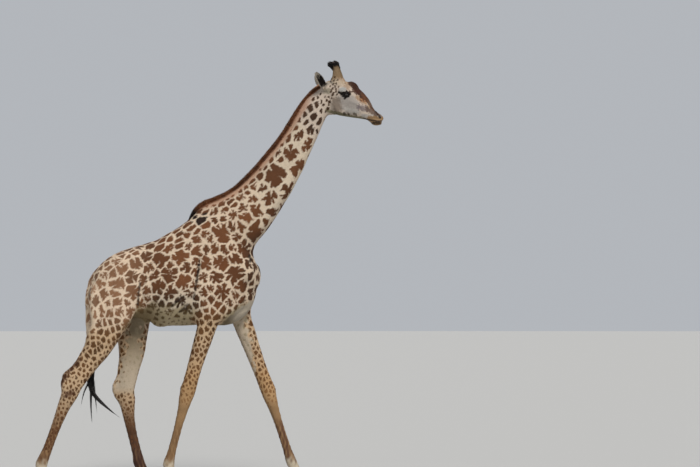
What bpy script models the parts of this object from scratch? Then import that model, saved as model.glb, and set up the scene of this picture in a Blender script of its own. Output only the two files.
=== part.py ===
"""A Masai giraffe bull in mid-stride, as a still life-size model. Metres, +Z up, head towards -Y.

The body is modelled whole: lofted masses for the trunk, neck, head and legs are fused into one flesh,
which thin flat cuts then part into head, neck, trunk and legs. Ears, horns, eyes, mane, tail and
hooves are solids of their own, and each is relieved by a fine gap where it meets the flesh.

Points of the body are written (forward, height), or (forward, height, across) where they lie off the
middle plane.
"""

import math

import bmesh
import bpy
import numpy as np
from mathutils import Matrix, Vector

RIGHT, LEFT = -1, 1

# Driving sizes
GAP = 0.0003  # between pieces that meet
RELIEF = 0.0005  # how far a neighbour is grown before it is cut from a piece
FLESH_VOXEL = 0.009
EASING_ROUNDS = 120
FLESH_TRIANGLES = 4300
RING_SIDES = 24

# Where the flesh is eased after it is fused: fully on the body, hardly at all on the legs and the head
EASED_FROM_HEIGHT, EASED_FULLY_AT = 1.45, 1.90
HEAD_FROM, NECK_TO = 1.20, 0.90  # forward
LEG_EASE, HEAD_EASE = 0.03, 0.02
EASE_STEP = 0.6

# Where the body is parted
LEG_CUT_HEIGHT = 1.70  # under the belly
NECK_CUT = ((0.20, 2.96), (0.62, 0.78))  # a point on the cut, and the way the neck leaves it
HEAD_CUT = ((1.215, 4.25), (0.86, 0.50))

# Trunk in upright slices: forward, top, widest level, bottom, half-width, narrowing towards the top
TRUNK = [
    (-1.345, 2.28, 2.20, 2.10, 0.060, 0.00),
    (-1.275, 2.425, 2.24, 1.98, 0.125, 0.10),
    (-1.13, 2.555, 2.27, 1.92, 0.190, 0.22),
    (-0.95, 2.635, 2.28, 1.89, 0.240, 0.32),
    (-0.76, 2.690, 2.27, 1.87, 0.285, 0.42),
    (-0.56, 2.762, 2.26, 1.815, 0.325, 0.50),
    (-0.38, 2.855, 2.25, 1.790, 0.345, 0.56),
    (-0.20, 3.000, 2.25, 1.795, 0.335, 0.66),
    (-0.05, 3.020, 2.25, 1.800, 0.305, 0.70),
    (0.12, 2.960, 2.27, 1.785, 0.265, 0.62),
    (0.29, 2.820, 2.31, 1.820, 0.215, 0.45),
    (0.42, 2.660, 2.34, 1.930, 0.165, 0.28),
    (0.505, 2.520, 2.36, 2.110, 0.095, 0.10),
]

# Neck: forward and height of the crest, forward and height of the throat, half-width, narrowing
# towards the crest
NECK = [
    (-0.33, 2.78, 0.36, 2.36, 0.240, 0.70),
    (-0.20, 2.98, 0.42, 2.53, 0.225, 0.68),
    (-0.085, 3.110, 0.480, 2.650, 0.212, 0.64),
    (0.045, 3.170, 0.545, 2.760, 0.200, 0.58),
    (0.250, 3.275, 0.690, 2.970, 0.172, 0.48),
    (0.430, 3.442, 0.822, 3.174, 0.143, 0.38),
    (0.612, 3.646, 0.965, 3.418, 0.122, 0.30),
    (0.802, 3.887, 1.100, 3.694, 0.106, 0.22),
    (0.992, 4.190, 1.218, 4.000, 0.094, 0.14),
    (1.140, 4.385, 1.285, 4.130, 0.088, 0.08),
    (1.240, 4.470, 1.380, 4.220, 0.082, 0.00),
]

# Head in upright slices, as the trunk's
HEAD = [
    (1.200, 4.425, 4.33, 4.150, 0.070, 0.10),
    (1.270, 4.495, 4.37, 4.128, 0.088, 0.05),
    (1.340, 4.522, 4.38, 4.145, 0.104, -0.05),
    (1.410, 4.528, 4.38, 4.135, 0.116, -0.14),
    (1.480, 4.520, 4.37, 4.120, 0.119, -0.16),
    (1.550, 4.490, 4.33, 4.110, 0.108, -0.10),
    (1.620, 4.440, 4.28, 4.100, 0.090, 0.00),
    (1.680, 4.370, 4.23, 4.092, 0.076, 0.04),
    (1.740, 4.295, 4.18, 4.075, 0.067, 0.06),
    (1.800, 4.215, 4.125, 4.030, 0.063, 0.06),
    (1.850, 4.150, 4.090, 4.022, 0.060, 0.08),
    (1.890, 4.095, 4.065, 4.032, 0.042, 0.10),
]

# Leg joints: (forward, height, across) from the body down to the coronet, for the leg as it stands
LEGS = {
    "foreleg_right": [
        (0.30, 2.42, 0.180),
        (-0.01, 1.93, 0.205),
        (-0.255, 1.06, 0.205),
        (-0.455, 0.270, 0.200),
        (-0.435, 0.125, 0.200),
    ],
    "foreleg_left": [
        (0.36, 2.46, 0.180),
        (0.28, 1.965, 0.200),
        (0.628, 1.06, 0.195),
        (0.893, 0.270, 0.190),
        (0.960, 0.125, 0.190),
    ],
    "hindleg_right": [
        (-1.06, 2.30, 0.160),
        (-0.98, 1.86, 0.195),
        (-1.50, 1.16, 0.200),
        (-1.85, 0.265, 0.200),
        (-1.835, 0.125, 0.200),
    ],
    "hindleg_left": [
        (-1.00, 2.30, 0.160),
        (-0.80, 1.82, 0.195),
        (-0.970, 1.07, 0.195),
        (-0.780, 0.255, 0.190),
        (-0.715, 0.125, 0.190),
    ],
}
# Girths: place along the joints (1 is the elbow or stifle, 2 the knee or hock, 3 the fetlock, 4 the
# coronet), half-depth in front, half-depth behind, half-width
FORE_GIRTHS = [
    (0.00, 0.130, 0.130, 0.075),
    (0.45, 0.180, 0.180, 0.095),
    (0.80, 0.175, 0.160, 0.104),
    (1.00, 0.160, 0.135, 0.100),
    (1.15, 0.138, 0.112, 0.092),
    (1.35, 0.112, 0.096, 0.081),
    (1.60, 0.092, 0.086, 0.070),
    (1.82, 0.088, 0.082, 0.066),
    (1.97, 0.092, 0.084, 0.072),
    (2.10, 0.078, 0.078, 0.067),
    (2.25, 0.062, 0.062, 0.052),
    (2.50, 0.049, 0.053, 0.042),
    (2.80, 0.049, 0.056, 0.043),
    (2.97, 0.062, 0.068, 0.056),
    (3.20, 0.062, 0.066, 0.056),
    (3.60, 0.062, 0.054, 0.056),
    (4.00, 0.088, 0.078, 0.078),
    (4.30, 0.092, 0.080, 0.082),
]
HIND_GIRTHS = [
    (0.00, 0.245, 0.225, 0.100),
    (0.45, 0.255, 0.290, 0.118),
    (0.80, 0.170, 0.320, 0.120),
    (1.00, 0.120, 0.300, 0.113),
    (1.17, 0.115, 0.250, 0.102),
    (1.42, 0.130, 0.185, 0.085),
    (1.66, 0.115, 0.120, 0.071),
    (1.85, 0.110, 0.082, 0.063),
    (2.00, 0.112, 0.080, 0.066),
    (2.14, 0.102, 0.092, 0.061),
    (2.30, 0.068, 0.084, 0.050),
    (2.55, 0.053, 0.066, 0.043),
    (2.82, 0.057, 0.062, 0.044),
    (2.97, 0.066, 0.074, 0.056),
    (3.20, 0.064, 0.068, 0.056),
    (3.60, 0.062, 0.054, 0.056),
    (4.00, 0.088, 0.078, 0.078),
    (4.30, 0.092, 0.080, 0.082),
]

# Hooves: two claws to a foot
CLAW_LENGTH = 0.245
CLAW_WIDTH = 0.092
CLEFT = 0.010
CORONET_FRONT = 0.140  # height of the coronet over the toe
CORONET_BACK = 0.075

# Horns, ears and eyes
HORN_BASE = (1.415, 4.500, 0.054)
HORN_TIP = (1.372, 4.735, 0.082)
EAR_BASE = (1.268, 4.430, 0.083)
EAR_TIP = (1.172, 4.612, 0.170)
EAR_WIDTH = 0.105
EAR_WALL = 0.010
EYE_CENTRE = (1.492, 4.358, 0.106)
EYE_RADIUS = 0.030

# Mane: forward, height of its root, how far it stands, from the poll to behind the withers
MANE = [
    (1.220, 4.452, 0.026),
    (1.140, 4.385, 0.040),
    (0.992, 4.190, 0.046),
    (0.802, 3.887, 0.046),
    (0.612, 3.646, 0.046),
    (0.430, 3.442, 0.045),
    (0.250, 3.275, 0.045),
    (0.045, 3.170, 0.045),
    (-0.085, 3.110, 0.045),
    (-0.165, 3.030, 0.036),
    (-0.215, 2.960, 0.018),
]
MANE_HALF_THICKNESS = 0.024

# Tail: forward, height, across, half-thickness
TAIL = [
    (-1.16, 2.420, 0.000, 0.060),
    (-1.270, 2.370, 0.000, 0.052),
    (-1.335, 2.260, 0.000, 0.041),
    (-1.356, 2.090, 0.004, 0.029),
    (-1.348, 1.860, 0.010, 0.023),
    (-1.328, 1.640, 0.014, 0.019),
    (-1.316, 1.480, 0.014, 0.017),
]
TASSEL = [
    (-1.317, 1.500, 0.014, 0.019),
    (-1.315, 1.400, 0.013, 0.031),
    (-1.322, 1.260, 0.010, 0.037),
    (-1.338, 1.140, 0.006, 0.038),
    (-1.298, 1.035, 0.002, 0.034),
    (-1.205, 0.935, -0.002, 0.028),
    (-1.105, 0.850, -0.006, 0.019),
    (-1.020, 0.785, -0.010, 0.009),
]

SKIN_COLOUR = (0.62, 0.47, 0.32)
HAIR_COLOUR = (0.16, 0.07, 0.04)
BLACK_HAIR = (0.02, 0.016, 0.014)
HORN_COLOUR = (0.10, 0.075, 0.055)
EYE_COLOUR = (0.02, 0.012, 0.01)


def place(forward, height, across=0.0):
    """A body point in the model's frame."""
    return Vector((across, -forward, height))


def clear_scene():
    for old in list(bpy.data.objects):
        bpy.data.objects.remove(old)


def material(name, colour, roughness):
    made = bpy.data.materials.new(name)
    made.use_nodes = True
    shader = made.node_tree.nodes["Principled BSDF"]
    shader.inputs["Base Color"].default_value = (*colour, 1.0)
    shader.inputs["Roughness"].default_value = roughness
    return made


def new_object(name, mesh, finish=None):
    made = bpy.data.objects.new(name, mesh)
    bpy.context.scene.collection.objects.link(made)
    if finish is not None:
        mesh.materials.clear()
        mesh.materials.append(finish)
    return made


def smooth_rows(rows, steps):
    """Rows of numbers with steps Catmull-Rom rows to each span between them."""
    rows = np.array(rows, float)
    before = np.vstack([2 * rows[0] - rows[1], rows, 2 * rows[-1] - rows[-2]])
    out = []
    for i in range(len(rows) - 1):
        a, b, c, d = before[i : i + 4]
        for k in range(steps):
            t = k / steps
            bend = (2 * a - 5 * b + 4 * c - d) * t**2 + (3 * b - a - 3 * c + d) * t**3
            out.append(0.5 * (2 * b + (c - a) * t + bend))
    out.append(rows[-1])
    return np.array(out)


def ring(centre, over, under, wide, towards, narrowing, sides):
    """Points of one cross-section. towards is the way its over side faces, in the upright middle plane."""
    points = []
    for k in range(sides):
        turn = 2 * math.pi * k / sides
        rise = math.sin(turn)
        depth = over if rise > 0 else under
        girth = wide * (1 - narrowing * rise * (0.5 if rise > 0 else 0.15))
        points.append(centre + towards * (depth * rise) + Vector((girth * math.cos(turn), 0, 0)))
    return points


def skin_rings(mesh_name, rings):
    """A closed mesh over rings of equal count, with flat ends."""
    work = bmesh.new()
    rows = [[work.verts.new(p) for p in points] for points in rings]
    count = len(rows[0])
    for first, second in zip(rows, rows[1:]):
        for k in range(count):
            n = (k + 1) % count
            work.faces.new((first[k], first[n], second[n], second[k]))
    work.faces.new(rows[0])
    work.faces.new(rows[-1])
    bmesh.ops.recalc_face_normals(work, faces=work.faces)
    mesh = bpy.data.meshes.new(mesh_name)
    work.to_mesh(mesh)
    work.free()
    return mesh


def loft(name, stations, steps=3, sides=RING_SIDES, facing=1):
    """A closed body through stations (forward, height, across, over, under, half-width, narrowing).
    On a run that goes down, facing -1 turns each section's over side to the front and 1 to the back.
    """
    rows = smooth_rows(stations, steps)
    centres = [place(r[0], r[1], r[2]) for r in rows]
    rings = []
    for i, r in enumerate(rows):
        run = centres[min(i + 1, len(rows) - 1)] - centres[max(i - 1, 0)]
        run.x = 0
        run.normalize()
        towards = Vector((1, 0, 0)).cross(run) * facing
        rings.append(ring(centres[i], r[3], r[4], r[5], towards, r[6], sides))
    return skin_rings(name, rings)


def mass(name, centre, sizes, pitch=0.0, yaw=0.0):
    """An ellipsoid of half-sizes (forward, height, across), pitched nose-down by pitch degrees."""
    work = bmesh.new()
    bmesh.ops.create_icosphere(work, subdivisions=3, radius=1.0)
    forward, height, across = sizes
    turn = Matrix.Rotation(math.radians(yaw), 4, "Z") @ Matrix.Rotation(math.radians(pitch), 4, "X")
    stretch = Matrix.Diagonal((across, forward, height, 1))
    work.transform(Matrix.Translation(place(*centre)) @ turn @ stretch)
    mesh = bpy.data.meshes.new(name)
    work.to_mesh(mesh)
    work.free()
    return mesh


def upright_slices(name, slices, steps=3, sides=RING_SIDES):
    """A closed body through upright slices (forward, top, widest level, bottom, half-width, narrowing)."""
    rings = []
    up = Vector((0, 0, 1))
    for forward, top, level, bottom, wide, narrowing in smooth_rows(slices, steps):
        centre = place(forward, level)
        rings.append(ring(centre, top - level, level - bottom, wide, up, narrowing, sides))
    return skin_rings(name, rings)


def crest_to_throat(name, stations, steps=3, sides=RING_SIDES):
    """A closed body through slanting sections, each from a crest point to a throat point."""
    rings = []
    for crest_f, crest_h, throat_f, throat_h, wide, narrowing in smooth_rows(stations, steps):
        crest, throat = place(crest_f, crest_h), place(throat_f, throat_h)
        centre = (crest + throat) / 2
        half = (crest - throat).length / 2
        rings.append(ring(centre, half, half, wide, (crest - throat).normalized(), narrowing, sides))
    return skin_rings(name, rings)


def leg_stations(joints, girths, side):
    """Stations for a leg: its joints read at each girth's place along them."""
    joints = np.array(joints, float)
    stations = []
    for along, front, back, wide in girths:
        i = min(int(along), len(joints) - 2)
        forward, height, across = joints[i] + (joints[i + 1] - joints[i]) * (along - i)
        stations.append((forward, height, side * across, front, back, wide, 0.0))
    return stations


def side_of(name):
    return RIGHT if name.endswith("right") else LEFT


def between(a, b, share):
    return tuple(p + (q - p) * share for p, q in zip(a, b))


def muscle(name, points):
    """A round-ended body along points (forward, height, across, half-depth, half-width)."""
    points = np.array(points, float)
    rows = []
    for end, other in ((points[0], points[1]), (points[-1], points[-2])):
        way = (end[:3] - other[:3]) / np.linalg.norm(end[:3] - other[:3])
        cap = []
        for out, share in ((0.95, 0.22), (0.72, 0.68), (0.40, 0.90)):
            cap.append((*(end[:3] + way * (end[3] * out)), end[3] * share, end[4] * share))
        rows.append(cap)
    rows = rows[0] + [tuple(p) for p in points] + rows[1][::-1]
    return loft(name, [(f, h, x, deep, deep, wide, 0.0) for f, h, x, deep, wide in rows], steps=2, sides=16)


def fore_masses(name, joints):
    """Shoulder and upper-arm muscle, and the bony points of a foreleg."""
    side = side_of(name)
    shoulder, elbow, knee, fetlock = joints[:4]
    outer = side * elbow[2]
    shin = side * knee[2]
    foot = side * fetlock[2]
    blade = [
        (-0.030, 2.860, side * 0.085, 0.120, 0.045),
        (0.080, 2.690, side * 0.130, 0.165, 0.070),
        (0.220, 2.520, side * 0.165, 0.155, 0.082),
        (shoulder[0] + 0.055, shoulder[1] - 0.03, side * 0.175, 0.125, 0.085),
    ]
    upper = [
        (*between((0.02, 2.62), shoulder[:2], 0.25), side * 0.170, 0.120, 0.075),
        (*between((0.06, 2.30), elbow[:2], 0.10), side * 0.205, 0.170, 0.085),
        (elbow[0] - 0.005, elbow[1] + 0.13, outer, 0.150, 0.090),
        (elbow[0], elbow[1] - 0.02, outer, 0.110, 0.085),
    ]
    return [
        muscle(name + "_blade", blade),
        muscle(name + "_upper", upper),
        mass(name + "_olecranon", (elbow[0] - 0.095, elbow[1] + 0.03, outer), (0.045, 0.10, 0.050)),
        mass(name + "_pan", (knee[0] + 0.050, knee[1] + 0.01, shin), (0.042, 0.085, 0.058)),
        mass(name + "_pisiform", (knee[0] - 0.060, knee[1] + 0.035, shin), (0.030, 0.055, 0.034)),
        mass(name + "_sesamoid", (fetlock[0] - 0.042, fetlock[1] + 0.01, foot), (0.032, 0.045, 0.050)),
    ]


def hind_masses(name, joints):
    """Rump and thigh muscle, and the point of the hock with its tendon."""
    side = side_of(name)
    hip, stifle, hock, fetlock = joints[:4]
    rise = Vector((hock[0] - fetlock[0], hock[1] - fetlock[1])).normalized()
    back = Vector((-rise.y, rise.x))
    heel = Vector(hock[:2]) + rise * 0.035 + back * 0.108
    gaskin = Vector(between(stifle, hock, 0.52)[:2]) + back * 0.115
    cannon = Vector(hock[:2]) - rise * 0.14 + back * 0.055
    middle = (heel + gaskin) / 2 - back * 0.004
    across = side * hock[2]
    foot = side * fetlock[2]
    tendon = [
        (gaskin.x, gaskin.y, across, 0.050, 0.050, 0.050, 0.0),
        (middle.x, middle.y, across, 0.030, 0.030, 0.030, 0.0),
        (heel.x, heel.y, across, 0.040, 0.040, 0.040, 0.0),
        (cannon.x, cannon.y, across, 0.036, 0.036, 0.037, 0.0),
    ]
    rump = [
        (-0.840, 2.480, side * 0.140, 0.110, 0.085),
        (-1.000, 2.400, side * 0.130, 0.160, 0.108),
        (-1.160, 2.240, side * 0.115, 0.155, 0.105),
        (hip[0] - 0.140, 2.020, side * 0.130, 0.130, 0.090),
        (stifle[0] - 0.200, stifle[1], side * 0.165, 0.110, 0.072),
    ]
    thigh = [
        (hip[0] + 0.06, hip[1] + 0.02, side * 0.160, 0.180, 0.105),
        (hip[0] + 0.02, hip[1] - 0.20, side * 0.180, 0.260, 0.115),
        (*between(hip, stifle, 0.80)[:2], side * stifle[2], 0.190, 0.108),
    ]
    return [
        loft(name + "_tendon", tendon),
        muscle(name + "_rump", rump),
        muscle(name + "_thigh", thigh),
        mass(name + "_sesamoid", (fetlock[0] - 0.044, fetlock[1] + 0.01, foot), (0.032, 0.045, 0.050)),
    ]


def head_masses():
    """The parts of the skull and muzzle that stand out of the head's plain loft."""
    made = [
        mass("forehead_horn", (1.560, 4.440, 0.0), (0.085, 0.072, 0.062), pitch=38),
        mass("nose_ridge", (1.660, 4.335, 0.0), (0.19, 0.060, 0.052), pitch=48),
        mass("upper_lip", (1.850, 4.112, 0.0), (0.064, 0.046, 0.064), pitch=34),
        mass("lower_lip", (1.835, 4.045, 0.0), (0.062, 0.026, 0.046), pitch=0),
        mass("poll", (1.320, 4.460, 0.0), (0.10, 0.065, 0.085), pitch=-10),
        mass("throat", (1.360, 4.205, 0.0), (0.10, 0.065, 0.055), pitch=-10),
    ]
    for side in (RIGHT, LEFT):
        made += [
            mass("brow", (1.468, 4.402, side * 0.104), (0.082, 0.040, 0.036), pitch=10, yaw=side * -5),
            mass("horn_root", (1.410, 4.470, side * 0.058), (0.090, 0.066, 0.056), pitch=8),
            mass("cheek", (1.430, 4.245, side * 0.066), (0.105, 0.105, 0.040), pitch=10),
            mass("cheekbone", (1.555, 4.300, side * 0.080), (0.100, 0.032, 0.022), pitch=30, yaw=side * -9),
            mass("nostril", (1.818, 4.150, side * 0.044), (0.052, 0.034, 0.024), pitch=44),
            mass("ear_root", (1.288, 4.420, side * 0.074), (0.040, 0.045, 0.034), pitch=-25),
        ]
    return made


def flesh_meshes():
    """Every mass of the body, before they are fused."""
    meshes = [
        upright_slices("trunk_mass", TRUNK),
        crest_to_throat("neck_mass", NECK),
        upright_slices("head_mass", HEAD),
        mass("brisket", (0.240, 2.080, 0.0), (0.26, 0.235, 0.140), pitch=-28),
        mass("breast", (0.420, 2.330, 0.0), (0.125, 0.21, 0.120), pitch=8),
        mass("sheath", (-0.56, 1.830, 0.0), (0.13, 0.072, 0.048), pitch=-4),
    ]
    for name, joints in LEGS.items():
        fore = name.startswith("fore")
        girths = FORE_GIRTHS if fore else HIND_GIRTHS
        meshes.append(loft(name + "_limb", leg_stations(joints, girths, side_of(name)), facing=-1))
        meshes += fore_masses(name, joints) if fore else hind_masses(name, joints)
    return meshes + head_masses()


def joined(meshes):
    """One mesh that holds the shells of all of them."""
    work = bmesh.new()
    for mesh in meshes:
        work.from_mesh(mesh)
    made = bpy.data.meshes.new("flesh")
    work.to_mesh(made)
    work.free()
    return made


def evaluated(obj):
    """The object's mesh with its modifiers, as a mesh of its own."""
    bpy.context.view_layer.update()
    graph = bpy.context.evaluated_depsgraph_get()
    return bpy.data.meshes.new_from_object(obj.evaluated_get(graph))


def drop(obj):
    bpy.data.objects.remove(obj)


def eased(mesh, rounds):
    """Smooths a mesh in place, with a full hand on the body and a light one on the head and the legs."""
    count = len(mesh.vertices)
    points = np.empty(count * 3)
    mesh.vertices.foreach_get("co", points)
    points = points.reshape(-1, 3)
    ends = np.empty(len(mesh.edges) * 2, np.int64)
    mesh.edges.foreach_get("vertices", ends)
    ends = ends.reshape(-1, 2)
    valence = np.bincount(ends.ravel(), minlength=count)[:, None]
    forward, height = -points[:, 1], points[:, 2]
    on_body = np.clip((height - EASED_FROM_HEIGHT) / (EASED_FULLY_AT - EASED_FROM_HEIGHT), 0.0, 1.0)
    off_head = np.clip((HEAD_FROM - forward) / (HEAD_FROM - NECK_TO), 0.0, 1.0)
    hand = (LEG_EASE + (1 - LEG_EASE) * on_body**2) * (HEAD_EASE + (1 - HEAD_EASE) * off_head)
    for _ in range(rounds):
        total = np.zeros_like(points)
        for axis in range(3):
            total[:, axis] = np.bincount(ends[:, 0], points[ends[:, 1], axis], count)
            total[:, axis] += np.bincount(ends[:, 1], points[ends[:, 0], axis], count)
        points += (total / valence - points) * (EASE_STEP * hand[:, None])
    mesh.vertices.foreach_set("co", points.ravel())
    mesh.update()


def fused_flesh():
    """The masses fused by a fine remesh, eased, and thinned to the triangles that the body is allowed."""
    obj = new_object("flesh", joined(flesh_meshes()))
    fuse = obj.modifiers.new("fuse", "REMESH")
    fuse.mode = "VOXEL"
    fuse.voxel_size = FLESH_VOXEL
    ease = obj.modifiers.new("ease", "SMOOTH")
    ease.factor, ease.iterations = 0.5, 4
    whole = evaluated(obj)
    drop(obj)
    eased(whole, EASING_ROUNDS)
    count = len(whole.polygons) * 2
    obj = new_object("flesh", whole)
    thin = obj.modifiers.new("thin", "DECIMATE")
    thin.ratio = FLESH_TRIANGLES / count
    thin.use_collapse_triangulate = True
    mesh = evaluated(obj)
    drop(obj)
    return mesh


def cut(mesh, point, normal, keep_ahead):
    """A copy of a closed mesh on one side of a plane, half a gap short of it, with the cut closed."""
    normal = Vector(normal).normalized()
    side = 1 if keep_ahead else -1
    work = bmesh.new()
    work.from_mesh(mesh)
    geometry = work.verts[:] + work.edges[:] + work.faces[:]
    found = bmesh.ops.bisect_plane(
        work,
        geom=geometry,
        plane_co=Vector(point) + normal * (side * GAP / 2),
        plane_no=normal,
        clear_inner=keep_ahead,
        clear_outer=not keep_ahead,
        dist=1e-6,
    )
    rim = [e for e in found["geom_cut"] if isinstance(e, bmesh.types.BMEdge) and e.is_boundary]
    bmesh.ops.triangle_fill(work, edges=rim, use_beauty=True, use_dissolve=False)
    bmesh.ops.recalc_face_normals(work, faces=work.faces)
    bmesh.ops.triangulate(work, faces=work.faces)
    made = bpy.data.meshes.new("cut")
    work.to_mesh(made)
    work.free()
    return made


def loose_parts(mesh):
    """The mesh's separate bodies, each as a mesh of its own."""
    work = bmesh.new()
    work.from_mesh(mesh)
    left = set(work.verts)
    parts = []
    while left:
        todo = [left.pop()]
        body = set(todo)
        while todo:
            for edge in todo.pop().link_edges:
                for vert in edge.verts:
                    if vert not in body:
                        body.add(vert)
                        todo.append(vert)
        left -= body
        order = {v: i for i, v in enumerate(sorted(body, key=lambda v: v.index))}
        faces = [[order[v] for v in face.verts] for face in work.faces if face.verts[0] in body]
        made = bpy.data.meshes.new("part")
        made.from_pydata([v.co[:] for v in order], [], faces)
        parts.append(made)
    work.free()
    return parts


def middle(mesh):
    total = Vector()
    for vert in mesh.vertices:
        total += vert.co
    return total / len(mesh.vertices)


def grown(mesh, by):
    """A copy of a mesh moved out along its normals."""
    made = mesh.copy()
    normals = [v.normal.copy() for v in made.vertices]
    for vert, normal in zip(made.vertices, normals):
        vert.co += normal * by
    return made


def without(mesh, *cutters):
    """The mesh less each cutter's shape, by exact Booleans."""
    obj = new_object("piece", mesh)
    helpers = []
    for cutter in cutters:
        helper = new_object("cutter", cutter)
        step = obj.modifiers.new("relief", "BOOLEAN")
        step.operation, step.solver, step.object = "DIFFERENCE", "EXACT", helper
        helpers.append(helper)
    made = evaluated(obj)
    for helper in helpers + [obj]:
        drop(helper)
    return made


def facing_of(direction):
    """place() without its sign on a direction (forward, height)."""
    return Vector((0, -direction[0], direction[1]))


def part_flesh(flesh):
    """The flesh as head, neck, trunk and four legs, by flat cuts."""
    level = (0, 0, LEG_CUT_HEIGHT)
    upper = cut(flesh, level, (0, 0, 1), True)
    lower = cut(flesh, level, (0, 0, 1), False)
    neck_at, neck_way = place(*NECK_CUT[0]), facing_of(NECK_CUT[1])
    head_at, head_way = place(*HEAD_CUT[0]), facing_of(HEAD_CUT[1])
    beyond = cut(upper, neck_at, neck_way, True)
    nodes = {
        "trunk": cut(upper, neck_at, neck_way, False),
        "neck": cut(beyond, head_at, head_way, False),
        "head": cut(beyond, head_at, head_way, True),
    }
    for part in loose_parts(lower):
        centre = middle(part)
        nodes[min(LEGS, key=lambda n: leg_distance(n, centre))] = part
    return nodes


def leg_distance(name, centre):
    """How far a leg's knee or hock is from a point."""
    forward, height, across = LEGS[name][2]
    return (place(forward, height, side_of(name) * across) - centre).length


def claw(side_of_foot):
    """One claw at the origin, its toe towards -Y: flat inside, round outside, drawn in above."""
    outline = []
    steps = 9
    for k in range(steps + 1):
        turn = math.pi * k / steps
        outline.append((CLAW_WIDTH * math.sin(turn) ** 0.8, -CLAW_LENGTH / 2 * math.cos(turn)))
    rings = []
    for height, length, width, back in [
        (0.0, 1.0, 1.0, 0.0),
        (0.03, 0.985, 0.99, 0.003),
        (0.08, 0.90, 0.93, 0.012),
        (0.20, 0.70, 0.84, 0.028),
    ]:
        points = []
        for across, along in outline:
            toe = 1 - 0.28 * max(0.0, -along / (CLAW_LENGTH / 2))
            x = side_of_foot * (CLEFT / 2 + across * width * toe)
            points.append(Vector((x, along * length + back, height)))
        rings.append(points)
    return skin_rings("claw", rings)


def hooves(leg, joints):
    """The two claws of a leg's foot, cut off along the coronet."""
    side = side_of(leg)
    forward, _, across = joints[4]
    foot = place(forward + 0.020, 0.0, side * across)
    slope = math.atan2(CORONET_FRONT - CORONET_BACK, CLAW_LENGTH * 0.8)
    normal = Vector((0, math.sin(slope), math.cos(slope)))
    coronet = foot + Vector((0, 0, (CORONET_FRONT + CORONET_BACK) / 2))
    made = {}
    for name, of_foot in (("inner", -side), ("outer", side)):
        mesh = claw(of_foot)
        mesh.transform(Matrix.Translation(foot))
        made[f"hoof_{leg}_{name}"] = cut(mesh, coronet, normal, False)
    return made, (coronet, normal)


def horn(side):
    """A bull's horn: a stout shaft on a spread root, with a worn knob that leans back."""
    base, tip = HORN_BASE, HORN_TIP
    rows = [(-0.20, 0.060, 0.044), (0.06, 0.064, 0.047), (0.25, 0.053, 0.044), (0.48, 0.044, 0.040)]
    rows += [(0.66, 0.043, 0.039), (0.80, 0.050, 0.045), (0.92, 0.050, 0.046), (1.00, 0.030, 0.028)]
    stations = []
    for along, deep, wide in rows:
        forward, height, across = between(base, tip, along)
        lean = -0.018 * max(0.0, along - 0.5) ** 2 * 4
        stations.append((forward + lean, height, side * across, deep, deep, wide, 0.0))
    return loft("horn", stations, sides=10, steps=2)


def ear(side):
    """A long leaf of an ear, cupped, its hollow turned out and forward."""
    base = place(EAR_BASE[0], EAR_BASE[1], side * EAR_BASE[2])
    tip = place(EAR_TIP[0], EAR_TIP[1], side * EAR_TIP[2])
    run = (tip - base).normalized()
    hollow = Vector((side * 0.70, -0.72, 0.10))
    hollow = (hollow - run * hollow.dot(run)).normalized()
    wide = run.cross(hollow)
    length = (tip - base).length
    columns = 8
    rings = []
    for along, width, cup in [
        (-0.12, 0.50, 1.0),
        (0.05, 0.62, 1.0),
        (0.22, 0.88, 0.85),
        (0.42, 1.00, 0.62),
        (0.62, 0.92, 0.45),
        (0.80, 0.68, 0.35),
        (0.92, 0.40, 0.25),
        (1.00, 0.14, 0.10),
    ]:
        half = EAR_WIDTH / 2 * width
        front, back = [], []
        for k in range(columns + 1):
            t = 2 * k / columns - 1
            depth = half * cup * (1 - t * t) * 0.9
            wall = EAR_WALL * (0.45 + 0.55 * (1 - t * t))
            spine = base + run * (length * along) + wide * (half * t) - hollow * depth
            front.append(spine + hollow * (wall / 2))
            back.append(spine - hollow * (wall / 2))
        rings.append(front + back[::-1])
    return skin_rings("ear", rings)


def eye(side):
    centre = (EYE_CENTRE[0], EYE_CENTRE[1], side * EYE_CENTRE[2])
    return mass("eye", centre, (EYE_RADIUS, EYE_RADIUS, EYE_RADIUS))


def mane():
    """The mane as one upright ridge that follows the crest."""
    rows = smooth_rows(MANE, 2)
    centres = [place(r[0], r[1]) for r in rows]
    rings = []
    for i, (_, _, stands) in enumerate(rows):
        run = (centres[min(i + 1, len(rows) - 1)] - centres[max(i - 1, 0)]).normalized()
        out = run.cross(Vector((1, 0, 0)))
        outline = []
        for share, height in [(1.0, -0.055), (0.95, 0.0), (0.72, 0.45), (0.42, 0.85), (0.0, 1.0)]:
            lift = height * stands if height > 0 else height
            outline.append((MANE_HALF_THICKNESS * share, lift))
        outline += [(-x, h) for x, h in outline[-2::-1]]
        rings.append([centres[i] + out * h + Vector((x, 0, 0)) for x, h in outline])
    return skin_rings("mane", rings)


def whip(name, rows, sides=10, steps=3):
    """A round body along the tail: rows of (forward, height, across, half-thickness)."""
    return loft(name, [(f, h, x, r, r, r * 0.9, 0.0) for f, h, x, r in rows], steps=steps, sides=sides)


def on_its_feet(meshes):
    """Moves all pieces so that the soles lie at zero and the box is centred over the origin."""
    low, high = Vector((1e9,) * 3), Vector((-1e9,) * 3)
    for mesh in meshes:
        for vert in mesh.vertices:
            low = Vector(map(min, low, vert.co))
            high = Vector(map(max, high, vert.co))
    shift = Vector((-(low.x + high.x) / 2, -(low.y + high.y) / 2, -low.z))
    for mesh in meshes:
        mesh.transform(Matrix.Translation(shift))
    return high - low


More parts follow.
